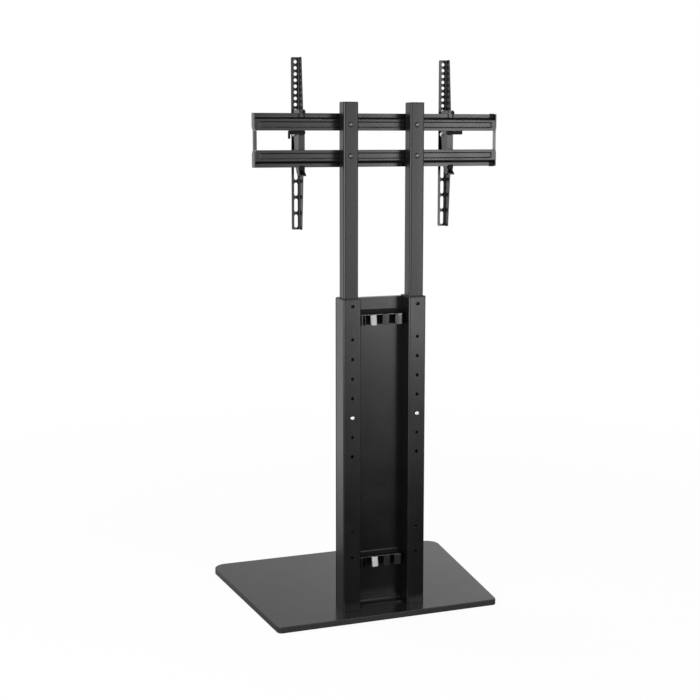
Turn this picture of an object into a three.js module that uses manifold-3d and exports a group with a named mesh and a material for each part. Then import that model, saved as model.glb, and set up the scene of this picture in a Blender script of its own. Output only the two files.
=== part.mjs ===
// Floor stand for a television: a flared steel base, a folded steel column, a mast of two
// tubes that telescope out of it, two slotted rails and two tilting arms that hook over them.
// Millimetres, +Z up, +Y towards the screen, origin at the centre of the base on the floor.
import * as THREE from 'three';
import { mergeVertices } from 'three/addons/utils/BufferGeometryUtils.js';
import Module from 'manifold-3d';

const wasm = await Module();
wasm.setup();

// Clearances that every fit shares
const seatGap = 0.3;
const cutOverrun = 4;

// Base pan
const baseRearWidth = 600;
const baseFrontWidth = 692;
const baseDepth = 518;
const baseHeight = 15.5;
const baseSheet = 3;
const baseSkirt = 2.5;
const baseEdgeRound = 1.2;
const baseRearCorner = 12;
const baseFrontCorner = 35;
const footDiameter = 38;
const footProud = 1.5;
const footInset = 42;
const stiffenerDepth = 96;
const stiffenerOverhang = 12;
const stiffenerThickness = 5;
const baseBoltSpacing = 30;

// Column
const columnWidth = 223;
const columnHeight = 807;
const columnSetback = 48;
const sleeveWidth = 47;
const sleeveDepth = 59;
const sleeveWall = 2;
const sleeveCorner = 4;
const recessDepth = 45;
const panelSheet = 2;
const panelReturn = 9;
const coverSheet = 2;
const footFlangeReach = 24;
const footFlangeRise = 18;
const footFlangeSheet = 3;
const sleeveFootThickness = 8;
const lockHolePitch = 50;
const lockHoleCount = 7;
const lowestLockHole = 407;
const lockHoleInUse = 2;
const lockHoleDiameter = 8.6;
const topSlotInset = 16;
const topSlotLength = 12;
const topSlotWidth = 8;
const lowerHoleDiameter = 7;
const upperLowerHoleHeight = 208;
const lowestHoleHeight = 141;
const collarInsertLength = 10;
const collarFlange = 2.4;

// Cable clips, on the recessed panel
const clipHeight = 33;
const clipDepth = 24;
const clipWall = 2.4;
const clipPlateThickness = 2;
const clipHeadRadius = 15;
const clipPinDiameter = 8;
const clipPinLength = 5;
const topClipBelowTop = 75;
const bottomClipRise = 97;
const clipHeadWidth = 19;
const topClipHeadShares = [-0.17, 0.09, 0.36];
const bottomClipHeadShares = [-0.13, 0.13, 0.36];

// Mast tubes
const postWidth = 39;
const postDepth = 38;
const postWall = 2;
const postCorner = 3;
const postSetIn = 7.5;
const postTopHeight = 1297;
const postLength = 860;
const postCapThickness = 2.8;
const postCapPlug = 12;
const shoeHeight = 40;
const shoeFloor = 4;
const shoeGroove = 14;

// Rails
const railLength = 650;
const railHeight = 42.7;
const railsBelowPostTop = 28;
const railFrameHeight = 132.8;
const sheet = 2.5;
const lipHeight = 10.5;
const lipOffset = 9;
const joggleRise = 4;
const beadHeight = 16;
const beadDepth = 1.5;
const beadEdgeRise = 14.6;
const beadEndInset = 10;
const tieFlangeWidth = 8;
const tieDepth = 22;
const tieWaistDepth = 13;
const tieWaistSlope = 9;
const stopLength = 12;
const stopWall = 2;
const stopHeight = 11;

// Screen arms
const armSpacing = 400;
const armWidth = 22;
const armLength = 428;
const armBelowRails = 157.2;
const armReach = 64.5;
const armTipDepth = 20;
const armMiddleDepth = 31;
const armCorner = 3;
const armHoleDiameter = 8.6;
const armHolePitch = 15;
const armHoleCount = 9;
const armTopHoleInset = 11.3;
const armSlotLength = 33;
const armSlotWidth = 9.5;
const armSlotPitch = 40;
const armSlotCount = 4;
const armBottomSlotInset = 21.5;
const tiltForwardDegrees = 8;
const tiltBackDegrees = 5;

// Hook brackets
const bracketWidth = 16.2;
const bracketStandoff = 1.2;
const bracketFrontGap = 2.6;
const bracketDrop = 20;
const hookRise = 9;
const hookNoseRise = 3;
const tongueThickness = 3;
const tongueDrop = 8;
const tongueGap = 1;
const bracketLowDepth = 27;
const bracketToeDepth = 13;
const tabReach = 11;
const tabFall = 8;
const latchWindowHeight = 11;
const pivotInset = 18;
const pivotDrop = 12;
const guideRadius = 40;

// Fasteners
const mediumBoltDiameter = 8;
const mediumHeadDiameter = 13;
const mediumHeadHeight = 5;
const mediumNutHeight = 6;
const smallBoltDiameter = 6;
const smallHeadDiameter = 10;
const smallHeadHeight = 4;
const lockBoltHeadDiameter = 11;
const lockBoltHeadHeight = 3.6;

// Lock levers and latches
const leverHubDiameter = 13;
const leverThickness = 5;
const leverLength = 34;
const leverTail = 10;
const leverBar = 7;
const leverHookWidth = 5.5;
const leverHookDrop = 15.5;
const leverOffset = 1.6;
const leverBelowRail = 4.8;
const leverPinDiameter = 5;
const leverPinHead = 2.5;
const leverPinHeadDiameter = 7;
const latchPinInset = 11.5;
const latchPinDrop = 10;
const latchPinDiameter = 4;
const latchBarHeight = 6;
const latchEngagement = 4;
const latchTongue = 3;
const latchTongueTip = 1.4;
const latchTongueLean = 2.6;
const latchHubDiameter = 11;
const latchPadLength = 13;
const latchPadThickness = 4;

// Places worked out from the sizes above
const baseTop = footProud + baseHeight;
const baseUnderside = baseTop - baseSheet;
const columnRear = -baseDepth / 2 + columnSetback;
const columnBottom = baseTop + seatGap;
const columnTop = baseTop + columnHeight;
const sleeveCentreX = (columnWidth - sleeveWidth) / 2;
const sleeveCentreY = columnRear + sleeveDepth / 2;
const sleeveFront = columnRear + sleeveDepth;
const recessHalfWidth = columnWidth / 2 - sleeveWidth;
const panelRear = columnRear + recessDepth;
const coverRear = sleeveFront + seatGap;
const postRear = columnRear + postSetIn;
const postFront = postRear + postDepth;
const postCentreY = postRear + postDepth / 2;
const postTubeTop = baseTop + postTopHeight - postCapThickness;
const postTubeBottom = postTubeTop - postLength;
const lockBoltHeight = baseTop + lowestLockHole + lockHoleInUse * lockHolePitch;
const webRear = postFront + seatGap;
const webFront = webRear + sheet;
const lipRear = webRear + lipOffset;
const lipFront = lipRear + sheet;
const railTop = baseTop + postTopHeight - railsBelowPostTop;
const railBottom = railTop - railFrameHeight;
const upperWebEdge = railTop - railHeight;
const lowerWebEdge = railBottom + railHeight;
const upperBead = upperWebEdge + beadEdgeRise;
const lowerBead = lowerWebEdge - beadEdgeRise;
const railEnd = railLength / 2 - sheet - seatGap;
const armFront = postFront + armReach;
const armBottom = railBottom - armBelowRails;
const armTop = armBottom + armLength;
const pivotY = armFront - pivotInset;
const pivotZ = railTop - pivotDrop;
const bracketRear = lipFront + bracketStandoff;
const bracketBottom = railBottom - bracketDrop;
const flangeInner = armWidth / 2 - sheet;
const bracketRight = flangeInner - seatGap;
const bracketLeft = bracketRight - bracketWidth;
const leverFront = bracketRear - seatGap;
const leverZ = upperWebEdge - leverBelowRail;
const latchPinY = bracketRear + latchPinInset;
const latchPinZ = railBottom - latchPinDrop;

// Finishes
const satinBlack = { color: 0x26272a, roughness: 0.42, metalness: 0.35 };
const glossBlack = { color: 0x1d1e20, roughness: 0.22, metalness: 0.3 };
const blackPlastic = { color: 0x141415, roughness: 0.5, metalness: 0 };
const blackRubber = { color: 0x111111, roughness: 0.9, metalness: 0 };
const zinc = { color: 0xb9bcc0, roughness: 0.3, metalness: 0.9 };
const darkSteel = { color: 0x3a3b3e, roughness: 0.4, metalness: 0.8 };

// Solids
function toSolid(geometry) {
  geometry.deleteAttribute('normal');
  geometry.deleteAttribute('uv');
  const merged = mergeVertices(geometry);
  return new wasm.Manifold(new wasm.Mesh({
    numProp: 3,
    vertProperties: new Float32Array(merged.attributes.position.array),
    triVerts: new Uint32Array(merged.index.array),
  }));
}

function toGeometry(solid) {
  const mesh = solid.getMesh();
  const geometry = new THREE.BufferGeometry();
  geometry.setAttribute('position', new THREE.Float32BufferAttribute(mesh.vertProperties, 3));
  geometry.setIndex(new THREE.Uint32BufferAttribute(mesh.triVerts, 1));
  geometry.computeVertexNormals();
  return geometry;
}

function join(...solids) {
  return solids.reduce((whole, solid) => whole.add(solid));
}

function cut(solid, ...tools) {
  return tools.reduce((rest, tool) => rest.subtract(tool), solid);
}

// A block between two planes on each axis
function block([x0, x1], [y0, y1], [z0, z1]) {
  const geometry = new THREE.BoxGeometry(x1 - x0, y1 - y0, z1 - z0);
  geometry.translate((x0 + x1) / 2, (y0 + y1) / 2, (z0 + z1) / 2);
  return toSolid(geometry);
}

// How each extrusion axis carries an outline: an outline for x lies in Y and Z, for y in X and Z,
// and for z in X and Y
const carriers = {
  x: (from) => new THREE.Matrix4().set(0, 0, 1, from, 1, 0, 0, 0, 0, 1, 0, 0, 0, 0, 0, 1),
  y: (from, to) => new THREE.Matrix4().set(1, 0, 0, 0, 0, 0, -1, to, 0, 1, 0, 0, 0, 0, 0, 1),
  z: (from) => new THREE.Matrix4().makeTranslation(0, 0, from),
};

function extrude(axis, shape, from, to, curveSegments = 6) {
  const options = { depth: to - from, bevelEnabled: false, curveSegments };
  const geometry = new THREE.ExtrudeGeometry(shape, options);
  geometry.applyMatrix4(carriers[axis](from, to));
  return toSolid(geometry);
}

function polygon(points) {
  return new THREE.Shape(points.map(([a, b]) => new THREE.Vector2(a, b)));
}

// A closed outline whose corners, given as place and radius, are rounded by arcs
function roundedPolygon(corners, steps = 5) {
  const points = [];
  corners.forEach(([a, b, radius], i) => {
    const corner = new THREE.Vector2(a, b);
    if (!radius) {
      points.push(corner);
      return;
    }
    const before = corners.at(i - 1);
    const after = corners[(i + 1) % corners.length];
    const back = new THREE.Vector2(before[0] - a, before[1] - b).normalize();
    const on = new THREE.Vector2(after[0] - a, after[1] - b).normalize();
    const half = Math.acos(back.dot(on)) / 2;
    const middle = back.clone().add(on).normalize().multiplyScalar(radius / Math.sin(half)).add(corner);
    const first = back.clone().multiplyScalar(radius / Math.tan(half)).add(corner).sub(middle);
    const turn = (Math.PI - 2 * half) * Math.sign(back.cross(on)) * -1;
    for (let step = 0; step <= steps; step += 1) {
      points.push(first.clone().rotateAround(new THREE.Vector2(), turn * step / steps).add(middle));
    }
  });
  return new THREE.Shape(points);
}

function rectangle(width, depth, radius) {
  const [w, d] = [width / 2, depth / 2];
  return roundedPolygon([[-w, -d, radius], [w, -d, radius], [w, d, radius], [-w, d, radius]]);
}

function circle(a, b, diameter) {
  return new THREE.Shape().absarc(a, b, diameter / 2, 0, 2 * Math.PI);
}

// A slot with round ends, long in its first direction
function slot(a, b, length, width) {
  const reach = (length - width) / 2;
  const shape = new THREE.Shape();
  shape.absarc(a + reach, b, width / 2, -Math.PI / 2, Math.PI / 2);
  shape.absarc(a - reach, b, width / 2, Math.PI / 2, 3 * Math.PI / 2);
  return shape;
}

// A slot long in its second direction
function uprightSlot(a, b, length, width) {
  const reach = (length - width) / 2;
  const shape = new THREE.Shape();
  shape.absarc(a, b + reach, width / 2, 0, Math.PI);
  shape.absarc(a, b - reach, width / 2, Math.PI, 2 * Math.PI);
  return shape;
}

// A slot that bends round a centre, from one angle to another
function arcSlot(a, b, radius, width, from, to) {
  const [inner, outer] = [radius - width / 2, radius + width / 2];
  const shape = new THREE.Shape();
  shape.absarc(a, b, outer, from, to);
  shape.absarc(a + radius * Math.cos(to), b + radius * Math.sin(to), width / 2, to, to + Math.PI);
  shape.absarc(a, b, inner, to, from, true);
  shape.absarc(a + radius * Math.cos(from), b + radius * Math.sin(from), width / 2, from + Math.PI,
    from + 2 * Math.PI);
  return shape;
}

// A round bar along an axis, with its sides set by the curve segments of its outline
function bar(axis, [a, b], diameter, from, to, curveSegments = 12) {
  return extrude(axis, circle(a, b, diameter), from, to, curveSegments);
}

function piece(parent, name, solid, finish, place = [0, 0, 0]) {
  const material = new THREE.MeshStandardMaterial(finish);
  const mesh = new THREE.Mesh(toGeometry(solid), material);
  mesh.name = name;
  mesh.position.set(...place);
  parent.add(mesh);
}

const sides = [['left', -1], ['right', 1]];

// Base pan: a flared sheet with a turned-down skirt, open below
function baseOutline(inset) {
  const flare = (baseFrontWidth - baseRearWidth) / 2 / baseDepth;
  const sideInset = inset * Math.hypot(1, flare);
  const halfWidth = (y) => baseRearWidth / 2 + (y + baseDepth / 2) * flare - sideInset;
  const [rear, front] = [-baseDepth / 2 + inset, baseDepth / 2 - inset];
  return roundedPolygon([
    [-halfWidth(rear), rear, baseRearCorner - inset],
    [halfWidth(rear), rear, baseRearCorner - inset],
    [halfWidth(front), front, baseFrontCorner - inset],
    [-halfWidth(front), front, baseFrontCorner - inset],
  ]);
}

function baseBoltPlaces() {
  return sides.flatMap(([side, sign]) => [['rear', -1], ['front', 1]].map(([end, along]) => ({
    name: `base_bolt_${side}_${end}`,
    x: sign * sleeveCentreX,
    y: sleeveCentreY + along * baseBoltSpacing / 2,
  })));
}

const boltHole = mediumBoltDiameter + 2 * seatGap;

function boltHoles(from, to) {
  return baseBoltPlaces().map(({ x, y }) => bar('z', [x, y], boltHole, from, to, 8));
}

function basePan() {
  const shell = new THREE.ExtrudeGeometry(baseOutline(0), {
    depth: baseHeight - 2 * baseEdgeRound,
    bevelThickness: baseEdgeRound,
    bevelSize: baseEdgeRound,
    bevelOffset: -baseEdgeRound,
    bevelSegments: 2,
  });
  shell.translate(0, 0, footProud + baseEdgeRound);
  const hollow = extrude('z', baseOutline(baseSkirt), footProud - cutOverrun, baseUnderside);
  return cut(toSolid(shell), hollow, ...boltHoles(baseUnderside - cutOverrun, baseTop + cutOverrun));
}

function stiffener() {
  const halfWidth = columnWidth / 2 + stiffenerOverhang;
  const top = baseUnderside - seatGap;
  const plate = block(
    [-halfWidth, halfWidth],
    [sleeveCentreY - stiffenerDepth / 2, sleeveCentreY + stiffenerDepth / 2],
    [top - stiffenerThickness, top],
  );
  return cut(plate, ...boltHoles(top - stiffenerThickness - cutOverrun, top + cutOverrun));
}

function baseBolt() {
  const underHead = baseUnderside - 2 * seatGap - stiffenerThickness;
  const tip = columnBottom + sleeveFootThickness + cutOverrun;
  const head = bar('z', [0, 0], mediumHeadDiameter, underHead - mediumHeadHeight, underHead);
  return join(head, bar('z', [0, 0], mediumBoltDiameter, underHead - mediumHeadHeight, tip, 8));
}

function footPad() {
  return bar('z', [0, 0], footDiameter, 0, baseUnderside - seatGap, 16);
}

const stand = new THREE.Group();
piece(stand, 'base_pan', basePan(), glossBlack);
piece(stand, 'base_stiffener', stiffener(), darkSteel);
for (const { name, x, y } of baseBoltPlaces()) {
  piece(stand, name, baseBolt(), zinc, [x, y, 0]);
}
for (const [side, sign] of sides) {
  const rearX = baseRearWidth / 2 - footInset;
  const frontX = baseFrontWidth / 2 - footInset;
  const footY = baseDepth / 2 - footInset;
  piece(stand, `foot_pad_rear_${side}`, footPad(), blackRubber, [sign * rearX, -footY, 0]);
  piece(stand, `foot_pad_front_${side}`, footPad(), blackRubber, [sign * frontX, footY, 0]);
}

// Column: two sleeves with a row of lock holes, a recessed panel between them and a front cover
function sleeve() {
  const wall = rectangle(sleeveWidth, sleeveDepth, sleeveCorner);
  const bore = rectangle(sleeveWidth - 2 * sleeveWall, sleeveDepth - 2 * sleeveWall,
    sleeveCorner - sleeveWall);
  wall.holes.push(bore);
  const tube = extrude('z', wall, columnBottom, columnTop);
  const [from, to] = [-sleeveDepth / 2 - cutOverrun, -sleeveDepth / 2 + sleeveWall + cutOverrun];
  const lockHoles = Array.from({ length: lockHoleCount }, (_, i) => {
    const height = baseTop + lowestLockHole + i * lockHolePitch;
    return bar('y', [0, height], lockHoleDiameter, from, to, 8);
  });
  const lowHoles = [upperLowerHoleHeight, lowestHoleHeight].map((height) => (
    bar('y', [0, baseTop + height], lowerHoleDiameter, from, to, 8)
  ));
  const topSlot = extrude('y', slot(0, columnTop - topSlotInset, topSlotLength, topSlotWidth), from, to);
  return cut(tube, ...lockHoles, ...lowHoles, topSlot);
}

const boreWidth = sleeveWidth - 2 * sleeveWall;
const boreDepth = sleeveDepth - 2 * sleeveWall;
const boreCorner = sleeveCorner - sleeveWall;

function inBore(clearance) {
  return rectangle(boreWidth - 2 * clearance, boreDepth - 2 * clearance, boreCorner);
}

function sleeveFoot() {
  const plate = extrude('z', inBore(seatGap), columnBottom, columnBottom + sleeveFootThickness);
  const holes = [-1, 1].map((along) => bar('z', [0, along * baseBoltSpacing / 2], boltHole,
    columnBottom - cutOverrun, columnBottom + sleeveFootThickness + cutOverrun, 8));
  return cut(plate, ...holes);
}

// The post runs nearer the rear wall of its sleeve, so what guides it is off centre
const postOffsetY = postCentreY - sleeveCentreY;

function postBore(clearance) {
  const [w, d] = [postWidth / 2 + clearance, postDepth / 2 + clearance];
  const [rear, front] = [postOffsetY - d, postOffsetY + d];
  const corner = postCorner;
  return roundedPolygon([[-w, rear, corner], [w, rear, corner], [w, front, corner], [-w, front, corner]]);
}

function guideCollar() {
  const insert = extrude('z', inBore(seatGap), columnTop - collarInsertLength, columnTop + collarFlange);
  const brim = extrude('z', rectangle(sleeveWidth, sleeveDepth, sleeveCorner),
    columnTop + seatGap, columnTop + seatGap + collarFlange);
  const bore = extrude('z', postBore(seatGap), columnTop - collarInsertLength - cutOverrun,
    columnTop + collarFlange + cutOverrun);
  return cut(join(insert, brim), bore);
}

function centrePanel() {
  const half = recessHalfWidth - seatGap;
  const front = panelRear + panelSheet;
  const web = block([-half, half], [panelRear, front], [columnBottom, columnTop]);
  const rim = block([-half, half], [panelRear, coverRear - seatGap], [columnTop - panelSheet, columnTop]);
  const returns = [-half, half - panelSheet].map((x) => block(
    [x, x + panelSheet],
    [panelRear, panelRear + panelReturn],
    [columnBottom, columnTop],
  ));
  return join(web, rim, ...returns);
}

function footBracket() {
  const half = recessHalfWidth - seatGap;
  const front = panelRear - seatGap;
  const flange = block([-half, half], [front - footFlangeReach, front],
    [columnBottom, columnBottom + footFlangeSheet]);
  const upstand = block([-half, half], [front - footFlangeSheet, front],
    [columnBottom, columnBottom + footFlangeRise]);
  return join(flange, upstand);
}

function frontCover() {
  const half = columnWidth / 2;
  return block([-half, half], [coverRear, coverRear + coverSheet], [columnBottom, columnTop]);
}

function lockBolt() {
  const underHead = columnRear - seatGap;
  const head = bar('y', [0, 0], lockBoltHeadDiameter, underHead - lockBoltHeadHeight, underHead);
  return join(head, bar('y', [0, 0], mediumBoltDiameter, underHead - lockBoltHeadHeight,
    postRear - seatGap, 8));
}

for (const [side, sign] of sides) {
  const x = sign * sleeveCentreX;
  piece(stand, `sleeve_${side}`, sleeve(), satinBlack, [x, sleeveCentreY, 0]);
  piece(stand, `sleeve_foot_${side}`, sleeveFoot(), darkSteel, [x, sleeveCentreY, 0]);
  piece(stand, `guide_collar_${side}`, guideCollar(), blackPlastic, [x, sleeveCentreY, 0]);
  piece(stand, `height_bolt_${side}`, lockBolt(), zinc, [x, 0, lockBoltHeight]);
}
piece(stand, 'centre_panel', centrePanel(), satinBlack);
piece(stand, 'foot_bracket', footBracket(), satinBlack);
piece(stand, 'front_cover', frontCover(), satinBlack);

// Cable clip: a back bar under a top plate, with curved heads on stems that hold the cables.
// What meets inside it overlaps by half a wall
const underPlate = clipHeight - clipPlateThickness / 2;

function clipHead(x) {
  const reach = Math.asin(clipHeadWidth / 2 / clipHeadRadius);
  const [inner, outer] = [clipHeadRadius - clipWall, clipHeadRadius];
  const centreY = clipHeadRadius - clipDepth;
  const shape = new THREE.Shape();
  shape.absarc(x, centreY, outer, -Math.PI / 2 - reach, -Math.PI / 2 + reach);
  shape.absarc(x, centreY, inner, -Math.PI / 2 + reach, -Math.PI / 2 - reach, true);
  const stem = block([x - clipWall / 2, x + clipWall / 2], [clipWall / 2 - clipDepth, -clipWall / 2],
    [clipWall / 2, underPlate]);
  return join(extrude('z', shape, 0, underPlate, 4), stem);
}

function cableClip(headShares) {
  const width = 2 * recessHalfWidth;
  const half = recessHalfWidth - clipPinLength;
  const front = clipWall / 2 - clipDepth;
  const back = block([-half, half], [-clipWall, 0], [0, underPlate]);
  const plate = block([-half, half], [front, 0], [clipHeight - clipPlateThickness, clipHeight]);
  const ends = [[-half, front], [half - clipWall, front / 2 - clipPinDiameter]].map(([x, reach]) => (
    block([x, x + clipWall], [reach, -clipWall / 2], [clipWall / 2, underPlate])
  ));
  const pinPlace = [-clipDepth / 2, clipHeight / 2];
  const pins = [
    bar('x', pinPlace, clipPinDiameter, seatGap - recessHalfWidth, clipWall / 2 - half, 6),
    bar('x', pinPlace, clipPinDiameter, half - clipWall / 2, recessHalfWidth - seatGap, 6),
  ];
  const heads = headShares.map((share) => clipHead(share * width));
  return join(back, plate, ...ends, ...pins, ...heads);
}

const clipBack = panelRear - seatGap;
piece(stand, 'cable_clip_top', cableClip(topClipHeadShares), blackPlastic,
  [0, clipBack, columnTop - topClipBelowTop]);
piece(stand, 'cable_clip_bottom', cableClip(bottomClipHeadShares), blackPlastic,
  [0, clipBack, baseTop + bottomClipRise]);

// Mast: two tubes with caps above and guide shoes below
function post() {
  const wall = rectangle(postWidth, postDepth, postCorner);
  wall.holes.push(rectangle(postWidth - 2 * postWall, postDepth - 2 * postWall, postCorner - postWall));
  const tube = extrude('z', wall, postTubeBottom, postTubeTop);
  const rear = [-postDepth / 2 - cutOverrun, -postDepth / 2 + postWall + cutOverrun];
  const front = [postDepth / 2 - postWall - cutOverrun, postDepth / 2 + cutOverrun];
  const rearHoles = [upperBead, lowerBead, lockBoltHeight].map((z) => bar('y', [0, z], boltHole, ...rear, 8));
  const frontHoles = [upperBead, lowerBead].map((z) => bar('y', [0, z], boltHole, ...front, 8));
  return cut(tube, ...rearHoles, ...frontHoles);
}

function postCap() {
  const lid = extrude('z', rectangle(postWidth, postDepth, postCorner),
    postTubeTop + seatGap, postTubeTop + postCapThickness);
  const inset = 2 * (postWall + seatGap);
  const plug = extrude('z', rectangle(postWidth - inset, postDepth - inset, postCorner - postWall),
    postTubeTop - postCapPlug, postTubeTop + postCapThickness);
  return join(lid, plug);
}

function guideShoe() {
  const bottom = postTubeBottom - seatGap - shoeFloor;
  const body = extrude('z', inBore(seatGap), bottom, bottom + shoeHeight);
  const seat = extrude('z', postBore(seatGap), bottom + shoeFloor, bottom + shoeHeight + cutOverrun);
  const grooveFront = postRear - sleeveCentreY + postWall;
  const groove = block([-shoeGroove / 2, shoeGroove / 2], [-sleeveDepth / 2 - cutOverrun, grooveFront],
    [bottom - cutOverrun, bottom + shoeHeight + cutOverrun]);
  return cut(body, seat, groove);
}

const mast = new THREE.Group();
for (const [side, sign] of sides) {
  const x = sign * sleeveCentreX;
  piece(mast, `post_${side}`, post(), satinBlack, [x, postCentreY, 0]);
  piece(mast, `post_cap_${side}`, postCap(), blackPlastic, [x, postCentreY, 0]);
  piece(mast, `guide_shoe_${side}`, guideShoe(), blackPlastic, [x, sleeveCentreY, 0]);
}

// Rails: a web against the posts with a long pressed bead, and a lip set off towards the screen.
// The upper rail's lip is at its top and the lower rail's at its bottom
function rail(webEdge, lipEdge) {
  const up = Math.sign(lipEdge - webEdge);
  const lipRoot = lipEdge - up * lipHeight;
  const webRoot = lipRoot - up * joggleRise;
  const profile = polygon([
    [webRear, webEdge],
    [webRear, webRoot],
    [lipRear, lipRoot],
    [lipRear, lipEdge],
    [lipFront, lipEdge],
    [lipFront, lipRoot - up * sheet / 2],
    [webFront, webRoot - up * sheet / 2],
    [webFront, webEdge],
  ]);
  const beadZ = webEdge + up * beadEdgeRise;
  const beadLength = 2 * (railEnd - beadEndInset);
  const hollow = slot(0, beadZ, beadLength, beadHeight - 2 * beadDepth);
  const boss = slot(0, beadZ, beadLength + 2 * beadDepth, beadHeight);
  const holes = sides.map(([, sign]) => bar('y', [sign * sleeveCentreX, beadZ], boltHole,
    webRear - cutOverrun, webFront + beadDepth + cutOverrun, 8));
  const pressed = join(extrude('x', profile, -railEnd, railEnd),
    extrude('y', boss, webRear + beadDepth, webFront + beadDepth));
  return cut(pressed, extrude('y', hollow, webRear - cutOverrun, webRear + beadDepth), ...holes);
}

piece(mast, 'upper_rail', rail(upperWebEdge, railTop), satinBlack);
piece(mast, 'lower_rail', rail(lowerWebEdge, railBottom), satinBlack);

// End ties: a waisted side plate over both rail ends, with a flange in the gap between the rails
function endTie(sign) {
  const [deep, shallow] = [webRear + tieDepth, webRear + tieWaistDepth];
  const outer = sign * railLength / 2;
  const inner = outer - sign * sheet;
  const [x0, x1] = [Math.min(inner, outer), Math.max(inner, outer)];
  const plate = extrude('x', polygon([
    [webRear, railBottom],
    [deep, railBottom],
    [deep, lowerWebEdge],
    [shallow, lowerWebEdge + tieWaistSlope],
    [shallow, upperWebEdge - tieWaistSlope],
    [deep, upperWebEdge],
    [deep, railTop],
    [webRear, railTop],
  ]), x0, x1);
  const edge = outer - sign * tieFlangeWidth;
  const flange = block([Math.min(edge, outer), Math.max(edge, outer)], [webRear, webFront],
    [lowerWebEdge + seatGap, upperWebEdge - seatGap]);
  return join(plate, flange);
}

// Slide stop: a plastic clip pushed over the lip at the right-hand end of a rail
function slideStop(lipEdge, up) {
  const [from, to] = [railEnd - stopLength, railEnd];
  const [rear, front] = [lipRear - seatGap - stopWall, lipFront + seatGap + stopWall];
  const spans = (a, b) => [Math.min(a, b), Math.max(a, b)];
  const outside = lipEdge + up * (seatGap + stopWall / 2);
  const body = block([from, to], [rear, front], spans(outside, outside - up * stopHeight));
  const slit = block([from - cutOverrun, to + cutOverrun], [lipRear - seatGap, lipFront + seatGap],
    spans(lipEdge + up * seatGap, outside - up * (stopHeight + cutOverrun)));
  return cut(body, slit);
}

for (const [side, sign] of sides) {
  piece(mast, `rail_end_tie_${side}`, endTie(sign), satinBlack);
}
piece(mast, 'slide_stop_upper', slideStop(railTop, 1), blackPlastic);
piece(mast, 'slide_stop_lower', slideStop(railBottom, -1), blackPlastic);

// Rail bolts run through the whole tube, with their heads behind it and their nuts on the bead
function railBolt() {
  const underHead = postRear - seatGap;
  const tip = webFront + beadDepth + seatGap + mediumNutHeight;
  const head = bar('y', [0, 0], mediumHeadDiameter, underHead - mediumHeadHeight, underHead);
  return join(head, bar('y', [0, 0], mediumBoltDiameter, underHead - mediumHeadHeight, tip, 8));
}

function railNut() {
  const from = webFront + beadDepth + seatGap;
  const hexagon = circle(0, 0, mediumHeadDiameter);
  const nut = extrude('y', hexagon, from, from + mediumNutHeight, 6);
  return cut(nut, bar('y', [0, 0], boltHole, from - cutOverrun, from + mediumNutHeight + cutOverrun, 8));
}

for (const [level, z] of [['upper', upperBead], ['lower', lowerBead]]) {
  for (const [side, sign] of sides) {
    const place = [sign * sleeveCentreX, 0, z];
    piece(mast, `rail_bolt_${level}_${side}`, railBolt(), zinc, place);
    piece(mast, `rail_nut_${level}_${side}`, railNut(), zinc, place);
  }
}

// Arms: an angle section with round holes above and slots below. Built about the line of its holes
const guideSlotWidth = smallBoltDiameter + 2 * seatGap;
const guideZ = pivotZ - guideRadius;

function arm() {
  const half = armWidth / 2;
  const face = roundedPolygon([
    [-half, armBottom, armCorner],
    [half, armBottom, 0],
    [half, armTop, 0],
    [-half, armTop, armCorner],
  ]);
  for (let i = 0; i < armHoleCount; i += 1) {
    face.holes.push(circle(0, armTop - armTopHoleInset - i * armHolePitch, armHoleDiameter));
  }
  for (let i = 0; i < armSlotCount; i += 1) {
    const z = armBottom + armBottomSlotInset + i * armSlotPitch;
    face.holes.push(uprightSlot(0, z, armSlotLength, armSlotWidth));
  }
  const tip = armFront - armTipDepth;
  const middle = armFront - armMiddleDepth;
  const flange = extrude('x', roundedPolygon([
    [armFront, armBottom, 0],
    [armFront, armTop, 0],
    [tip, armTop, armCorner],
    [middle, railTop + hookRise, 0],
    [middle, bracketBottom, 0],
    [tip, armBottom, armCorner],
  ]), flangeInner, half);
  const pivotHole = bar('x', [pivotY, pivotZ], boltHole, flangeInner - cutOverrun, half + cutOverrun, 8);
  const guideHole = bar('x', [pivotY, guideZ], guideSlotWidth, flangeInner - cutOverrun,
    half + cutOverrun, 8);
  return cut(join(extrude('y', face, armFront - sheet, armFront, 5), flange), pivotHole, guideHole);
}

// Hook bracket: a channel whose two cheeks hook over the upper rail's lip, with a window for
// the latch and a bent tab below the lower rail
function bracketCheek(from, to) {
  const tongueFront = lipRear - tongueGap;
  const tongueRear = tongueFront - tongueThickness;
  const front = armFront - sheet - bracketFrontGap;
  const cheek = extrude('x', polygon([
    [tongueRear, railTop - tongueDrop],
    [tongueFront, railTop - tongueDrop],
    [tongueFront, railTop + seatGap],
    [bracketRear, railTop + seatGap],
    [bracketRear, bracketBottom],
    [bracketRear + bracketToeDepth, bracketBottom],
    [bracketRear + bracketLowDepth, railBottom],
    [front, pivotZ],
    [front, railTop],
    [front - hookRise, railTop + hookRise],
    [bracketRear, railTop + hookRise],
    [tongueRear, railTop + hookNoseRise],
  ]), from, to);
  const start = -Math.PI / 2 - THREE.MathUtils.degToRad(tiltForwardDegrees);
  const end = -Math.PI / 2 + THREE.MathUtils.degToRad(tiltBackDegrees);
  const guideSlot = extrude('x', arcSlot(pivotY, pivotZ, guideRadius, guideSlotWidth, start, end),
    from - cutOverrun, to + cutOverrun);
  const pivotHole = bar('x', [pivotY, pivotZ], boltHole, from - cutOverrun, to + cutOverrun, 8);
  const pinHole = bar('x', [latchPinY, latchPinZ], latchPinDiameter + 2 * seatGap, from - cutOverrun,
    to + cutOverrun, 8);
  return cut(cheek, guideSlot, pivotHole, pinHole);
}

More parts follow.
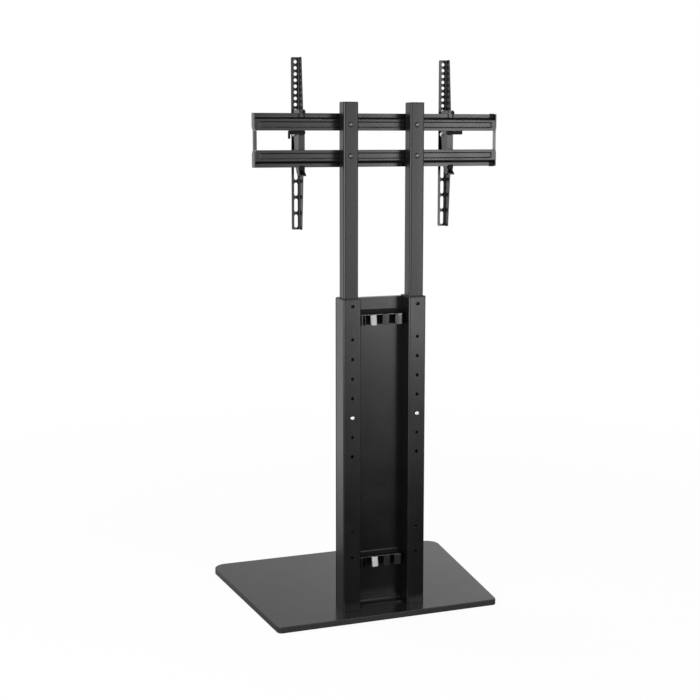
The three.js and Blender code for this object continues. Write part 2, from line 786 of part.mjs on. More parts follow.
function hookBracket() {
  const windowTop = railBottom;
  const windowBottom = railBottom - latchWindowHeight;
  const [inLeft, inRight] = [bracketLeft + sheet, bracketRight - sheet];
  const web = block([bracketLeft, bracketRight], [bracketRear, bracketRear + sheet],
    [windowBottom, railTop + hookRise]);
  const opening = block([inLeft, inRight], [bracketRear - cutOverrun, bracketRear + sheet + cutOverrun],
    [windowBottom, windowTop]);
  const tab = extrude('x', polygon([
    [bracketRear + sheet, windowBottom],
    [bracketRear, windowBottom],
    [bracketRear - tabReach, windowBottom - tabFall],
    [bracketRear - tabReach, windowBottom - tabFall - sheet],
    [bracketRear, windowBottom - sheet],
    [bracketRear + sheet, windowBottom - sheet],
  ]), bracketLeft, bracketRight);
  const leverHole = bar('y', [-leverOffset, leverZ], leverPinDiameter + 2 * seatGap,
    bracketRear - cutOverrun, bracketRear + sheet + cutOverrun, 8);
  const cheeks = [
    bracketCheek(bracketLeft, inLeft),
    bracketCheek(inRight, bracketRight),
  ];
  return join(cut(web, opening, leverHole), tab, ...cheeks);
}

// A bolt across the bracket and the arm's flange, with its nut on the bracket's left cheek
function crossBolt(y, z, diameter, headDiameter, headHeight) {
  const headFrom = armWidth / 2 + seatGap;
  const nutTo = bracketLeft - seatGap;
  const head = bar('x', [y, z], headDiameter, headFrom, headFrom + headHeight, 6);
  const nut = bar('x', [y, z], headDiameter, nutTo - headHeight, nutTo, 6);
  return join(head, nut, bar('x', [y, z], diameter, nutTo - headHeight, headFrom + headHeight, 8));
}

// Lock lever: a hub on a headed pin through the bracket's web, with a hooked bar. The two levers
// are one part: the right one is turned half way round its pin
function lockLever(turn) {
  const rear = leverFront - leverThickness;
  const hub = bar('y', [0, 0], leverHubDiameter, rear, leverFront);
  const lever = extrude('y', roundedPolygon([
    [-leverLength, leverBar / 2, leverBar / 3],
    [-leverLength, leverBar / 2 - leverHookDrop - leverBar / 2, leverHookWidth / 3],
    [leverHookWidth - leverLength, leverBar / 2 - leverHookDrop - leverBar / 2, leverHookWidth / 3],
    [leverHookWidth - leverLength, -leverBar / 2, 0],
    [leverTail, -leverBar / 2, leverBar / 3],
    [leverTail, leverBar / 2, leverBar / 3],
  ], 3), rear, leverFront);
  const inside = bracketRear + sheet + seatGap;
  const pin = bar('y', [0, 0], leverPinDiameter, rear, inside + leverPinHead, 8);
  const pinHead = bar('y', [0, 0], leverPinHeadDiameter, inside, inside + leverPinHead, 8);
  const whole = join(hub, lever, pin, pinHead);
  return turn ? whole.rotate([0, 180, 0]) : whole;
}

// Latch: a bar through the bracket's window with a leaning tongue behind the lower rail's lip, a
// hub on its own pin and a finger pad below
function latch() {
  const [left, right] = [bracketLeft + sheet + seatGap, bracketRight - sheet - seatGap];
  const tongueFront = lipRear - tongueGap;
  const barTop = railBottom - tongueGap;
  const body = extrude('x', polygon([
    [tongueFront - latchTongueLean - latchTongueTip, railBottom + latchEngagement],
    [tongueFront - latchTongue, barTop - latchBarHeight],
    [latchPinY, barTop - latchBarHeight],
    [latchPinY, barTop],
    [tongueFront, barTop],
    [tongueFront - latchTongueLean, railBottom + latchEngagement],
  ]), left, right);
  const hub = bar('x', [latchPinY, latchPinZ], latchHubDiameter, left, right, 10);
  const pad = block([left, right], [latchPinY, latchPinY + latchPadThickness],
    [latchPinZ - latchPadLength, latchPinZ]);
  const pin = bar('x', [latchPinY, latchPinZ], latchPinDiameter, bracketLeft, bracketRight, 8);
  return join(body, hub, pad, pin);
}

const model = new THREE.Group();
model.name = 'tv_stand_with_mount';
model.add(stand, mast);
for (const [side, sign] of sides) {
  const assembly = new THREE.Group();
  assembly.position.x = sign * armSpacing / 2;
  piece(assembly, `arm_${side}`, arm(), satinBlack);
  piece(assembly, `hook_bracket_${side}`, hookBracket(), satinBlack);
  piece(assembly, `tilt_pivot_${side}`, crossBolt(pivotY, pivotZ, mediumBoltDiameter,
    mediumHeadDiameter, mediumHeadHeight), zinc);
  piece(assembly, `tilt_guide_bolt_${side}`, crossBolt(pivotY, guideZ, smallBoltDiameter,
    smallHeadDiameter, smallHeadHeight), zinc);
  piece(assembly, `lock_lever_${side}`, lockLever(side === 'right'), blackPlastic,
    [-leverOffset, 0, leverZ]);
  piece(assembly, `latch_${side}`, latch(), blackPlastic);
  model.add(assembly);
}

export default model;
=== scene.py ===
import math

import bmesh
import bpy
from mathutils import Matrix, Vector


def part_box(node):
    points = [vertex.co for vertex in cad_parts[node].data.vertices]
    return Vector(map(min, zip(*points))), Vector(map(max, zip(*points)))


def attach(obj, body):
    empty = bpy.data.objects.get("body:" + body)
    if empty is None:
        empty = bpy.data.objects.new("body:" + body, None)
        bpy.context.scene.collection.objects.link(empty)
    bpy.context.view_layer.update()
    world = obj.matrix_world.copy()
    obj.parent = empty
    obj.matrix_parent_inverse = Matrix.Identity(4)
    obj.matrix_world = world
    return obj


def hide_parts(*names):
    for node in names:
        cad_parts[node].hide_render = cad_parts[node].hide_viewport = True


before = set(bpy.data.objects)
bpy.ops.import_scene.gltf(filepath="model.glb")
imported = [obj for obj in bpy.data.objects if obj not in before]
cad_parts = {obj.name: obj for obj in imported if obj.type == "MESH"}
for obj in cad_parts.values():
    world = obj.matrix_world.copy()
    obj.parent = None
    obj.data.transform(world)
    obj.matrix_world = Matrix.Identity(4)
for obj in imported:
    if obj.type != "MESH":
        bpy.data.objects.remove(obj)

MM = 0.001
SIDES, LEVELS = ("left", "right"), ("upper", "lower")
SHEET_EDGE, BROKEN_EDGE, MOULDED_EDGE = 0.3 * MM, 0.5 * MM, 0.6 * MM
FINE = {"edge": 0.15 * MM, "edge_steps": 1}
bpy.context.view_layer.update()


# Base pan
# A flared tray of sheet steel with its skirt turned down all round and its corners rounded. It is
# pressed in one piece. Its powder coat is smoother and glossier than the column's, and duller on the
# skirt, whose faces also get a lighter colour: painted light on the side faces.
REAR_WIDTH, FRONT_WIDTH = 600 * MM, 692 * MM
REAR_CORNER, FRONT_CORNER = 12 * MM, 36.2 * MM
PAN_SHEET, PAN_SKIRT, PAN_EDGE = 3 * MM, 2.5 * MM, 1.2 * MM
SKIRT_SLOPE, SHARP_ANGLE, FLAT_WEIGHT = 0.7, math.radians(35), 80
RUBBED, PATCHES, LOOKS_UP, SPECKS = (0.995, 0.90), (0.42, 0.62), (0.6, 1.0), (0.5, 0.75)


def rounded(corners, steps=8):
    """A closed outline with its corners, given as place and radius, turned by arcs."""
    points = []
    for i, (a, b, radius) in enumerate(corners):
        corner = Vector((a, b))
        if not radius:
            points.append(corner)
            continue
        back = (Vector(corners[i - 1][:2]) - corner).normalized()
        on = (Vector(corners[(i + 1) % len(corners)][:2]) - corner).normalized()
        half = back.angle(on) / 2
        middle = corner + (back + on).normalized() * radius / math.sin(half)
        spoke = corner + back * radius / math.tan(half) - middle
        turn = (math.pi - 2 * half) * math.copysign(1, back.cross(on)) * -1
        for step in range(steps + 1):
            points.append(middle + Matrix.Rotation(turn * step / steps, 2) @ spoke)
    return points


def dress(obj, edge, edge_steps=2):
    """Smooth shading over edges that are rounded by a small radius."""
    obj.data.shade_smooth()
    if edge:
        bevel = obj.modifiers.new("rounded edges", "BEVEL")
        bevel.width = edge
        bevel.segments = edge_steps
        bevel.limit_method = "ANGLE"
        bevel.angle_limit = SHARP_ANGLE
        bevel.use_clamp_overlap = True
    weighted = obj.modifiers.new("flat faces", "WEIGHTED_NORMAL")
    weighted.weight = FLAT_WEIGHT
    weighted.keep_sharp = False


def placed(name, data):
    """An object in the scene that holds a mesh, a lamp or a camera."""
    obj = bpy.data.objects.new(name, data)
    bpy.context.scene.collection.objects.link(obj)
    return obj


def piece(name, mesh, finish, body, slot, replaced=(), edge=0.0, edge_steps=2):
    """A finished piece: its mesh, its material, fine rounded edges and what it stands for."""
    obj = placed(name, mesh)
    mesh.materials.clear()
    mesh.materials.append(finish)
    dress(obj, edge, edge_steps)
    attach(obj, body)
    if replaced:
        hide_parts(*replaced)
    return obj


def shader_group(name, inputs, outputs):
    """An empty shader group with its named sockets."""
    group = bpy.data.node_groups.new(name, "ShaderNodeTree")
    for label, value in inputs.items():
        socket = group.interface.new_socket(label, in_out="INPUT", socket_type="NodeSocketFloat")
        socket.default_value = value
    for label in outputs:
        group.interface.new_socket(label, in_out="OUTPUT", socket_type="NodeSocketFloat")
    return group, group.nodes.new("NodeGroupInput"), group.nodes.new("NodeGroupOutput")


def add_node(tree, kind, settings=(), **inputs):
    """A node with its settings, and its inputs set to values or linked from other sockets."""
    node = tree.nodes.new(kind)
    for key, value in dict(settings).items():
        setattr(node, key, value)
    for key, value in inputs.items():
        socket = node.inputs[int(key[1:])] if key[1:].isdigit() else node.inputs[key.replace("_", " ")]
        if isinstance(value, bpy.types.NodeSocket):
            tree.links.new(value, socket)
        else:
            socket.default_value = value
    return node


def maths(tree, operation, first, second):
    """The result of one operation on two values."""
    return add_node(tree, "ShaderNodeMath", {"operation": operation}, _0=first, _1=second).outputs[0]


def ramp(tree, value, start, end, low=0.0, high=1.0):
    """A value carried from one range to another and held at its ends."""
    return add_node(tree, "ShaderNodeMapRange", Value=value, From_Min=start, From_Max=end, To_Min=low,
                    To_Max=high).outputs[0]


def mixed_colour(tree, share, first, second):
    """Two colours mixed by a share of the second."""
    mix = add_node(tree, "ShaderNodeMix", {"data_type": "RGBA"}, Factor=share, _6=first, _7=second)
    return mix.outputs[2]


def grain_group():
    """Fine relief and slow mottling in object space, for coated and moulded skins."""
    tree, given, out = shader_group("skin_grain", {"Grain Scale": 900, "Mottle Scale": 14, "Stretch": 1},
                                    ("Height", "Mottle"))
    place = add_node(tree, "ShaderNodeTexCoord").outputs["Object"]
    squeeze = add_node(tree, "ShaderNodeCombineXYZ", X=1.0, Y=1.0, Z=given.outputs["Stretch"])
    place = add_node(tree, "ShaderNodeVectorMath", {"operation": "MULTIPLY"}, _0=place,
                     _1=squeeze.outputs[0]).outputs["Vector"]
    fine = add_node(tree, "ShaderNodeTexNoise", Vector=place, Scale=given.outputs["Grain Scale"],
                    Detail=3.0, Roughness=0.6)
    slow = add_node(tree, "ShaderNodeTexNoise", Vector=place, Scale=given.outputs["Mottle Scale"],
                    Detail=4.0, Roughness=0.55)
    tree.links.new(fine.outputs["Fac"], out.inputs["Height"])
    tree.links.new(slow.outputs["Fac"], out.inputs["Mottle"])
    return tree


def wear_group():
    """A mask of rubbed outer edges, broken up by a noise."""
    tree, given, out = shader_group("edge_wear", {"Width": 0.8 * MM, "Patch Scale": 60}, ("Wear",))
    place = add_node(tree, "ShaderNodeTexCoord").outputs["Object"]
    softened = add_node(tree, "ShaderNodeBevel", {"samples": 4}, Radius=given.outputs["Width"])
    normal = add_node(tree, "ShaderNodeNewGeometry").outputs["Normal"]
    turned_by = add_node(tree, "ShaderNodeVectorMath", {"operation": "DOT_PRODUCT"}, _0=softened.outputs[0],
                         _1=normal)
    edge = ramp(tree, turned_by.outputs["Value"], *RUBBED)
    patches = add_node(tree, "ShaderNodeTexNoise", Vector=place, Scale=given.outputs["Patch Scale"],
                       Detail=5.0)
    wear = maths(tree, "MULTIPLY", edge, ramp(tree, patches.outputs["Fac"], *PATCHES))
    tree.links.new(wear, out.inputs["Wear"])
    return tree


def dust_group():
    """A thin mask of settled dust on faces that look up."""
    tree, given, out = shader_group("settled_dust", {"Amount": 0.1, "Speck Scale": 500}, ("Dust",))
    place = add_node(tree, "ShaderNodeTexCoord").outputs["Object"]
    normal = add_node(tree, "ShaderNodeNewGeometry").outputs["Normal"]
    up = add_node(tree, "ShaderNodeSeparateXYZ", Vector=normal).outputs["Z"]
    specks = add_node(tree, "ShaderNodeTexNoise", Vector=place, Scale=given.outputs["Speck Scale"],
                      Detail=2.0)
    settled = maths(tree, "MULTIPLY", ramp(tree, up, *LOOKS_UP), ramp(tree, specks.outputs["Fac"], *SPECKS))
    tree.links.new(maths(tree, "MULTIPLY", settled, given.outputs["Amount"]), out.inputs["Dust"])
    return tree


GRAIN, WEAR, DUST = grain_group(), wear_group(), dust_group()
DUST_COLOUR = (0.35, 0.34, 0.32, 1)
MOTTLE_GAIN, MOTTLE_LIFT, MOTTLE_FROM, MOTTLE_TO = 1.3, 0.001, 0.3, 0.7
RELIEF_DEPTH = 0.1 * MM


def skin(name, colour, worn, roughness, specular, grain_scale, relief, wear=0.5, dust=0.03, spread=0.08,
         metallic=0.0, stretch=1.0):
    """A coated, moulded or plated skin: mottled, grained, rubbed at its edges and a little dusty."""
    material = bpy.data.materials.new(name)
    material.use_nodes = True
    tree = material.node_tree
    shader = tree.nodes["Principled BSDF"]
    grain = add_node(tree, "ShaderNodeGroup", {"node_tree": GRAIN}, Grain_Scale=grain_scale, Stretch=stretch)
    rubbed = add_node(tree, "ShaderNodeGroup", {"node_tree": WEAR})
    dusty = add_node(tree, "ShaderNodeGroup", {"node_tree": DUST}, Amount=dust)
    lighter = [min(1.0, c * MOTTLE_GAIN + MOTTLE_LIFT) for c in colour]
    mottled = mixed_colour(tree, grain.outputs["Mottle"], (*colour, 1), (*lighter, 1))
    edged = mixed_colour(tree, maths(tree, "MULTIPLY", rubbed.outputs["Wear"], wear), mottled, (*worn, 1))
    dusted = mixed_colour(tree, dusty.outputs["Dust"], edged, DUST_COLOUR)
    tree.links.new(dusted, shader.inputs["Base Color"])
    rough = ramp(tree, grain.outputs["Mottle"], MOTTLE_FROM, MOTTLE_TO, roughness - spread / 2,
                 roughness + spread / 2)
    tree.links.new(rough, shader.inputs["Roughness"])
    bump = add_node(tree, "ShaderNodeBump", Strength=relief, Distance=RELIEF_DEPTH,
                    Height=grain.outputs["Height"])
    tree.links.new(bump.outputs["Normal"], shader.inputs["Normal"])
    shader.inputs["Specular IOR Level"].default_value = specular
    shader.inputs["Metallic"].default_value = metallic
    return material


def made(bm):
    """The mesh of a closed skin, its faces turned outwards."""
    bmesh.ops.recalc_face_normals(bm, faces=bm.faces)
    mesh = bpy.data.meshes.new("skin")
    bm.to_mesh(mesh)
    bm.free()
    return mesh


def stacked(loops, hollow=False):
    """A closed skin over outlines, each with its height: capped at both ends, or joined if hollow."""
    bm = bmesh.new()
    rings = [[bm.verts.new((*point, z)) for point in outline] for outline, z in loops]
    pairs = list(zip(rings, rings[1:]))
    if hollow:
        pairs.append((rings[-1], rings[0]))
    for low, high in pairs:
        for i in range(len(low)):
            j = (i + 1) % len(low)
            bm.faces.new((low[i], low[j], high[j], high[i]))
    if not hollow:
        bm.faces.new(rings[0])
        bm.faces.new(rings[-1])
    return made(bm)


pan_low, pan_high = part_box("base_pan")
half_depth = pan_high.y
flare = (FRONT_WIDTH - REAR_WIDTH) / 2 / (2 * half_depth)


def pan_loop(inset, z):
    """The pan's outline, drawn in by an inset, and its height."""
    side = inset * math.hypot(1, flare)
    y = half_depth - inset
    rear = REAR_WIDTH / 2 + inset * flare - side
    front = FRONT_WIDTH / 2 - inset * flare - side
    corners = [
        (-rear, -y, REAR_CORNER - inset),
        (rear, -y, REAR_CORNER - inset),
        (front, y, FRONT_CORNER - inset),
        (-front, y, FRONT_CORNER - inset),
    ]
    return rounded(corners, 12), z


def quarter(radius, steps=4):
    """Insets and rises of a quarter round, from the wall to the top."""
    angles = [math.pi / 2 * step / steps for step in range(steps + 1)]
    return [(radius * (1 - math.cos(a)), radius * math.sin(a)) for a in angles]


under = pan_high.z - PAN_SHEET
rims = [(PAN_SKIRT + 3 * PAN_EDGE, under), (PAN_SKIRT, under - 2 * PAN_EDGE),
        (PAN_SKIRT, pan_low.z + PAN_EDGE / 2), (PAN_SKIRT - PAN_EDGE / 2, pan_low.z),
        (PAN_EDGE / 2, pan_low.z), (0, pan_low.z + PAN_EDGE / 2)]
rims += [(inset, pan_high.z - PAN_EDGE + rise) for inset, rise in quarter(PAN_EDGE)]
rims.append((2 * PAN_EDGE, pan_high.z))
shape = stacked([pan_loop(inset, z) for inset, z in rims])
GLOSS_COAT = skin("gloss_powder_coat", (0.006, 0.006, 0.0065), (0.05, 0.05, 0.052), 0.2, 0.34, 700, 0.06,
                  wear=0.3, dust=0.04, spread=0.05)
# A lighter copy of the top's coat for the skirt: painted light on the faces that look sideways.
SKIRT_COAT_PAINTED_LIGHT = skin("skirt_coat_painted_light", (0.018, 0.018, 0.0185), (0.05, 0.05, 0.052), 0.3, 0.34, 700, 0.06,
                  dust=0.06)
tray = piece("base_tray", shape, GLOSS_COAT, "stand", "gloss_black_coat", ["base_pan"])
tray.data.materials.append(SKIRT_COAT_PAINTED_LIGHT)
# Faces that look sideways take the lighter copy of the coat, as painted light.
for face in tray.data.polygons:
    face.material_index = 1 if abs(face.normal.z) < SKIRT_SLOPE else 0


# Stiffener and sleeve feet
# Flat plates of rolled steel, left dark and uncoated, that clamp the pan between them under the
# column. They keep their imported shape, with their sawn edges broken.
ROLLED_STEEL = skin("rolled_steel", (0.16, 0.16, 0.165), (0.4, 0.4, 0.41), 0.42, 0.5, 260, 0.4, dust=0.15,
                    spread=0.16, metallic=1.0)
SEAM = 0.005 * MM


def keep(name, finish, edge):
    """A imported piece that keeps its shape: finished, and its edges rounded."""
    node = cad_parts[name]
    node.data.materials.clear()
    node.data.materials.append(finish)
    weld = node.modifiers.new("welded seams", "WELD")
    weld.merge_threshold = SEAM
    dress(node, edge)


for name in ("base_stiffener", "sleeve_foot_left", "sleeve_foot_right"):
    keep(name, ROLLED_STEEL, BROKEN_EDGE)


# Foot pads
# Four turned rubber pads with a ribbed tread, pushed up into the corners of the pan until they
# stand just proud of its skirt.
TREAD_STEP, TREAD_DEPTH, PAD_ROUND, NEAR_AXIS = 3 * MM, 0.5 * MM, 1.5 * MM, 0.1 * MM


def ring(diameter, steps=32):
    """A circle's outline."""
    angles = [2 * math.pi * i / steps for i in range(steps)]
    return [(diameter / 2 * math.cos(a), diameter / 2 * math.sin(a)) for a in angles]


def turned(profile, sides=36):
    """A solid turned round Z, from a profile of radius and height that starts and ends near the axis."""
    return stacked([(ring(2 * radius, sides), z) for radius, z in profile])


def new_tree(name, sockets):
    """A node tree that takes and gives geometry, and the identifiers of its named inputs."""
    tree = bpy.data.node_groups.new(name, "GeometryNodeTree")
    tree.interface.new_socket("Geometry", in_out="INPUT", socket_type="NodeSocketGeometry")
    names = {}
    for label, kind in sockets.items():
        names[label] = tree.interface.new_socket(label, in_out="INPUT", socket_type=kind).identifier
    tree.interface.new_socket("Geometry", in_out="OUTPUT", socket_type="NodeSocketGeometry")
    return tree, names, tree.nodes.new("NodeGroupInput"), tree.nodes.new("NodeGroupOutput")


def finish_tree(tree, given, out, geometry):
    """Realized instances in one material, as the last nodes of a tree."""
    real = add_node(tree, "GeometryNodeRealizeInstances", Geometry=geometry)
    coated = add_node(tree, "GeometryNodeSetMaterial", Geometry=real.outputs[0],
                      Material=given.outputs["Material"])
    tree.links.new(coated.outputs[0], out.inputs[0])


def grown(mesh, tree, names, lent, **inputs):
    """The mesh that a node tree makes of a mesh and one lent to it, with its named inputs set."""
    obj, helper = placed("grown", mesh), placed("helper", lent)
    modifier = obj.modifiers.new("grown", "NODES")
    modifier.node_group = tree
    for label, value in {"Lent": helper, **inputs}.items():
        modifier[names[label]] = value
    graph = bpy.context.evaluated_depsgraph_get()
    result = bpy.data.meshes.new_from_object(obj.evaluated_get(graph), depsgraph=graph)
    bpy.data.objects.remove(obj)
    bpy.data.objects.remove(helper)
    return result


def copies_tree():
    """One unit at each point of the mesh it is given."""
    tree, names, given, out = new_tree("copies_at_points", {
        "Lent": "NodeSocketObject", "Turn": "NodeSocketRotation", "Material": "NodeSocketMaterial"})
    unit = add_node(tree, "GeometryNodeObjectInfo", Object=given.outputs["Lent"])
    copies = add_node(tree, "GeometryNodeInstanceOnPoints", Points=given.outputs[0],
                      Instance=unit.outputs["Geometry"], Rotation=given.outputs["Turn"])
    finish_tree(tree, given, out, copies.outputs[0])
    return tree, names


COPIES = copies_tree()


def copies(unit, points, finish, turn=(0.0, 0.0, 0.0)):
    """One mesh with a unit repeated at each point, turned from upright."""
    mesh = bpy.data.meshes.new("points")
    mesh.from_pydata(points, [], [])
    return grown(mesh, *COPIES, unit, Turn=turn, Material=finish)


def centre(name):
    """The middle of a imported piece's box."""
    low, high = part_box(name)
    return (low + high) / 2


RUBBER = skin("rubber", (0.006, 0.006, 0.006), (0.02, 0.02, 0.02), 0.7, 0.3, 1200, 0.5, dust=0.2)
pads = [f"foot_pad_{end}_{side}" for end in ("rear", "front") for side in SIDES]
pad_low, pad_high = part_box(pads[0])
pad_radius = (pad_high.x - pad_low.x) / 2
profile = [(NEAR_AXIS, 0)]
ribs = int((pad_radius - PAD_ROUND) / TREAD_STEP)
for i in range(1, ribs):
    profile += [((i + share) * TREAD_STEP, depth) for share, depth in
                ((0, 0), (0.1, TREAD_DEPTH), (0.3, TREAD_DEPTH), (0.4, 0))]
profile += [(pad_radius - PAD_ROUND, 0), (pad_radius - 0.4 * PAD_ROUND, 0.2 * PAD_ROUND),
            (pad_radius, PAD_ROUND), (pad_radius, pad_high.z - PAD_ROUND),
            (pad_radius - PAD_ROUND, pad_high.z), (NEAR_AXIS, pad_high.z)]
places = [(c.x, c.y, 0) for c in map(centre, pads)]
piece("foot_pads", copies(turned(profile), places, RUBBER), RUBBER, "stand", "rubber", pads)


# Base bolts
# Four hexagon bolts with a pressed flange, bright zinc plated, up through the stiffener and the pan
# into the sleeves' feet.
FLANGE_THICKNESS, HEXAGON_SHARE, THREAD_PITCH, THREAD_DEPTH = 1.2 * MM, 1.55, 1.25 * MM, 0.35 * MM
BOLT_HEAD, BOLT_RADIUS, CHAMFER, HEXAGON_ACROSS = 5 * MM, 4 * MM, 0.5 * MM, math.cos(math.pi / 6)
ZINC = skin("zinc_plate", (0.62, 0.63, 0.65), (0.85, 0.85, 0.86), 0.3, 0.5, 500, 0.15, wear=0.3, dust=0.05,
            spread=0.14, metallic=1.0)


def merge(*meshes):
    """One mesh that holds several closed skins."""
    bm = bmesh.new()
    for mesh in meshes:
        bm.from_mesh(mesh)
        bpy.data.meshes.remove(mesh)
    whole = bpy.data.meshes.new("merged")
    bm.to_mesh(whole)
    bm.free()
    return whole


def hexagon(across, low, high, chamfer):
    """A hexagon head or nut round Z with a turned chamfer at its top."""
    corner = across / 2 / HEXAGON_ACROSS
    outline = [(r * c, r * s) for r, (c, s) in zip([corner, across / 2] * 6, ring(2, 12))]
    return stacked([(outline, low), (outline, high - chamfer), (ring(across - chamfer, 12), high)])


def thread(radius, low, high):
    """A threaded shank round Z, its crests and roots turned."""
    root = radius - THREAD_DEPTH
    profile = [(NEAR_AXIS, low), (root, low)]
    turns = int((high - low) / THREAD_PITCH)
    for i in range(turns):
        z = low + i * THREAD_PITCH
        profile += [(root, z + 0.1 * THREAD_PITCH), (radius, z + 0.5 * THREAD_PITCH)]
    profile += [(root, low + turns * THREAD_PITCH), (root - THREAD_DEPTH, high), (NEAR_AXIS, high)]
    return turned(profile, 20)


def disc(radius, low, high, edge):
    """A flat washer or flange round Z with its rim rounded."""
    return turned([(NEAR_AXIS, low), (radius - edge, low), (radius, low + edge), (radius, high - edge),
                   (radius - edge, high), (NEAR_AXIS, high)])


bolts = [f"base_bolt_{side}_{end}" for side in SIDES for end in ("rear", "front")]
bolt_low, bolt_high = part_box(bolts[0])
head_radius = (bolt_high.x - bolt_low.x) / 2
length = bolt_high.z - bolt_low.z
unit = merge(
    hexagon(HEXAGON_SHARE * head_radius, 0, BOLT_HEAD, CHAMFER),
    disc(head_radius, BOLT_HEAD - FLANGE_THICKNESS, BOLT_HEAD, FLANGE_THICKNESS / 4),
    thread(BOLT_RADIUS, CHAMFER, length),
)
places = [(c.x, c.y, bolt_low.z) for c in map(centre, bolts)]
piece("base_bolts", copies(unit, places, ZINC), ZINC, "stand", "zinc", bolts, **FINE)


# Sleeves
# Two rectangular tubes, bent and seam welded from sheet, with a row of seven lock holes, two
# smaller holes below and an oblong one at the top punched through the rear wall. Satin powder coat.
SLEEVE_WALL, SLEEVE_CORNER, SLEEVE_EDGE = 2 * MM, 4.6 * MM, 0.35 * MM
LOCK_HOLE, LOCK_PITCH, LOCK_COUNT, LOWEST_LOCK = 8.6 * MM, 50 * MM, 7, 407 * MM
TOP_SLOT_LENGTH, TOP_SLOT_WIDTH, TOP_SLOT_INSET = 12 * MM, 8 * MM, 16 * MM
LOW_HOLE, LOW_PITCH, LOWEST_HOLE = 7 * MM, 67 * MM, 141 * MM
SATIN_COAT = skin("satin_powder_coat", (0.0022, 0.0022, 0.0025), (0.06, 0.06, 0.062), 0.24, 0.4, 900, 0.12,
                  wear=0.4, dust=0.06)
base_top = pan_high.z


def punched_tree():
    """A straight row of equal holes, cut through the mesh it is given."""
    tree, names, given, out = new_tree("punched_row", {
        "Lent": "NodeSocketObject", "First": "NodeSocketVector", "Step": "NodeSocketVector",
        "Count": "NodeSocketInt", "Material": "NodeSocketMaterial"})
    row = add_node(tree, "GeometryNodeMeshLine", {"mode": "OFFSET"}, Count=given.outputs["Count"],
                   Start_Location=given.outputs["First"], Offset=given.outputs["Step"])
    cutter = add_node(tree, "GeometryNodeObjectInfo", Object=given.outputs["Lent"])
    cutters = add_node(tree, "GeometryNodeInstanceOnPoints", Points=row.outputs[0],
                       Instance=cutter.outputs["Geometry"])
    real = add_node(tree, "GeometryNodeRealizeInstances", Geometry=cutters.outputs[0])
    rest = add_node(tree, "GeometryNodeMeshBoolean", {"operation": "DIFFERENCE", "solver": "EXACT"})
    tree.links.new(given.outputs[0], rest.inputs["Mesh 1"])
    tree.links.new(real.outputs[0], rest.inputs["Mesh 2"])
    finish_tree(tree, given, out, rest.outputs[0])
    return tree, names


PUNCHED = punched_tree()


def prism(outline, low, high, axis="z"):
    """A straight bar with an outline; along Y the outline lies in X and Z, along X in Y and Z."""
    mesh = stacked([(outline, low), (outline, high)])
    if axis == "y":
        mesh.transform(Matrix(((1, 0, 0, 0), (0, 0, 1, 0), (0, 1, 0, 0), (0, 0, 0, 1))))
        mesh.flip_normals()
    if axis == "x":
        mesh.transform(Matrix(((0, 0, 1, 0), (1, 0, 0, 0), (0, 1, 0, 0), (0, 0, 0, 1))))
    return mesh


def oval(length, width, steps=10):
    """The outline of a slot with round ends, long in its first direction."""
    reach, radius = (length - width) / 2, width / 2
    points = []
    for end, start in ((1, -math.pi / 2), (-1, math.pi / 2)):
        for step in range(steps + 1):
            angle = start + math.pi * step / steps
            points.append((end * reach + radius * math.cos(angle), radius * math.sin(angle)))
    return points


def punched(mesh, finish, cutter, first, step=(0, 0, 0), count=1):
    """A mesh with a row of holes cut by one cutter."""
    return grown(mesh, *PUNCHED, cutter, First=first, Step=step, Count=count, Material=finish)


def rectangle(low, high, inset, corner, steps=8):
    """A rounded rectangle inside a box's plan."""
    x0, y0, x1, y1 = low.x + inset, low.y + inset, high.x - inset, high.y - inset
    return rounded([(x0, y0, corner), (x1, y0, corner), (x1, y1, corner), (x0, y1, corner)], steps)


def tube(low, high, corner, wall):
    """A rectangular tube between two corners of its box, with rounded edges."""
    outer, inner = rectangle(low, high, 0, corner), rectangle(low, high, wall, corner - wall)
    return stacked([(outer, low.z), (outer, high.z), (inner, high.z), (inner, low.z)], hollow=True)


for side in SIDES:
    low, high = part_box(f"sleeve_{side}")
    x, wall_y, reach = (low.x + high.x) / 2, low.y + SLEEVE_WALL / 2, 2 * SLEEVE_WALL
    mesh = tube(low, high, SLEEVE_CORNER, SLEEVE_WALL)
    for outline, z, pitch, count in (
            (ring(LOCK_HOLE), base_top + LOWEST_LOCK, LOCK_PITCH, LOCK_COUNT),
            (ring(LOW_HOLE), base_top + LOWEST_HOLE, LOW_PITCH, 2),
            (oval(TOP_SLOT_LENGTH, TOP_SLOT_WIDTH), high.z - TOP_SLOT_INSET, 0, 1)):
        cutter = prism(outline, -reach, reach, "y")
        mesh = punched(mesh, SATIN_COAT, cutter, (x, wall_y, z), (0, 0, pitch), count)
    piece(f"sleeve_tube_{side}", mesh, SATIN_COAT, "stand", "satin_black_coat", [f"sleeve_{side}"],
          edge=SLEEVE_EDGE)


# Centre panel, foot bracket and front cover
# Folded and flat sheets between and in front of the sleeves, in the same satin coat. The panel is
# set back and has a rim across its top. The bracket ties its foot and has a fillet in its fold.
FOOT_SHEET, FOOT_FILLET, FILLET_STEPS, FOLD_EDGE = 3 * MM, 7 * MM, 8, 0.6 * MM
FILLET_COAT = skin("fillet_coat", (0.0022, 0.0022, 0.0025), (0.06, 0.06, 0.062), 0.5, 0.34, 700, 0.2,
                   dust=0.06)
for name in ("centre_panel", "foot_bracket", "front_cover"):
    keep(name, SATIN_COAT, FOLD_EDGE)
low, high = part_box("foot_bracket")
fold_y, fold_z = high.y - FOOT_SHEET, low.z + FOOT_SHEET
section = [(fold_y + FOOT_SHEET / 2, fold_z - FOOT_SHEET / 2)]
section += [(fold_y - FOOT_FILLET + rise, fold_z + inset)
            for inset, rise in quarter(FOOT_FILLET, FILLET_STEPS)]
fillet = prism(section, low.x + FOOT_SHEET, high.x - FOOT_SHEET, "x")
piece("foot_bracket_fillet", fillet, FILLET_COAT, "stand", "satin_black_coat")


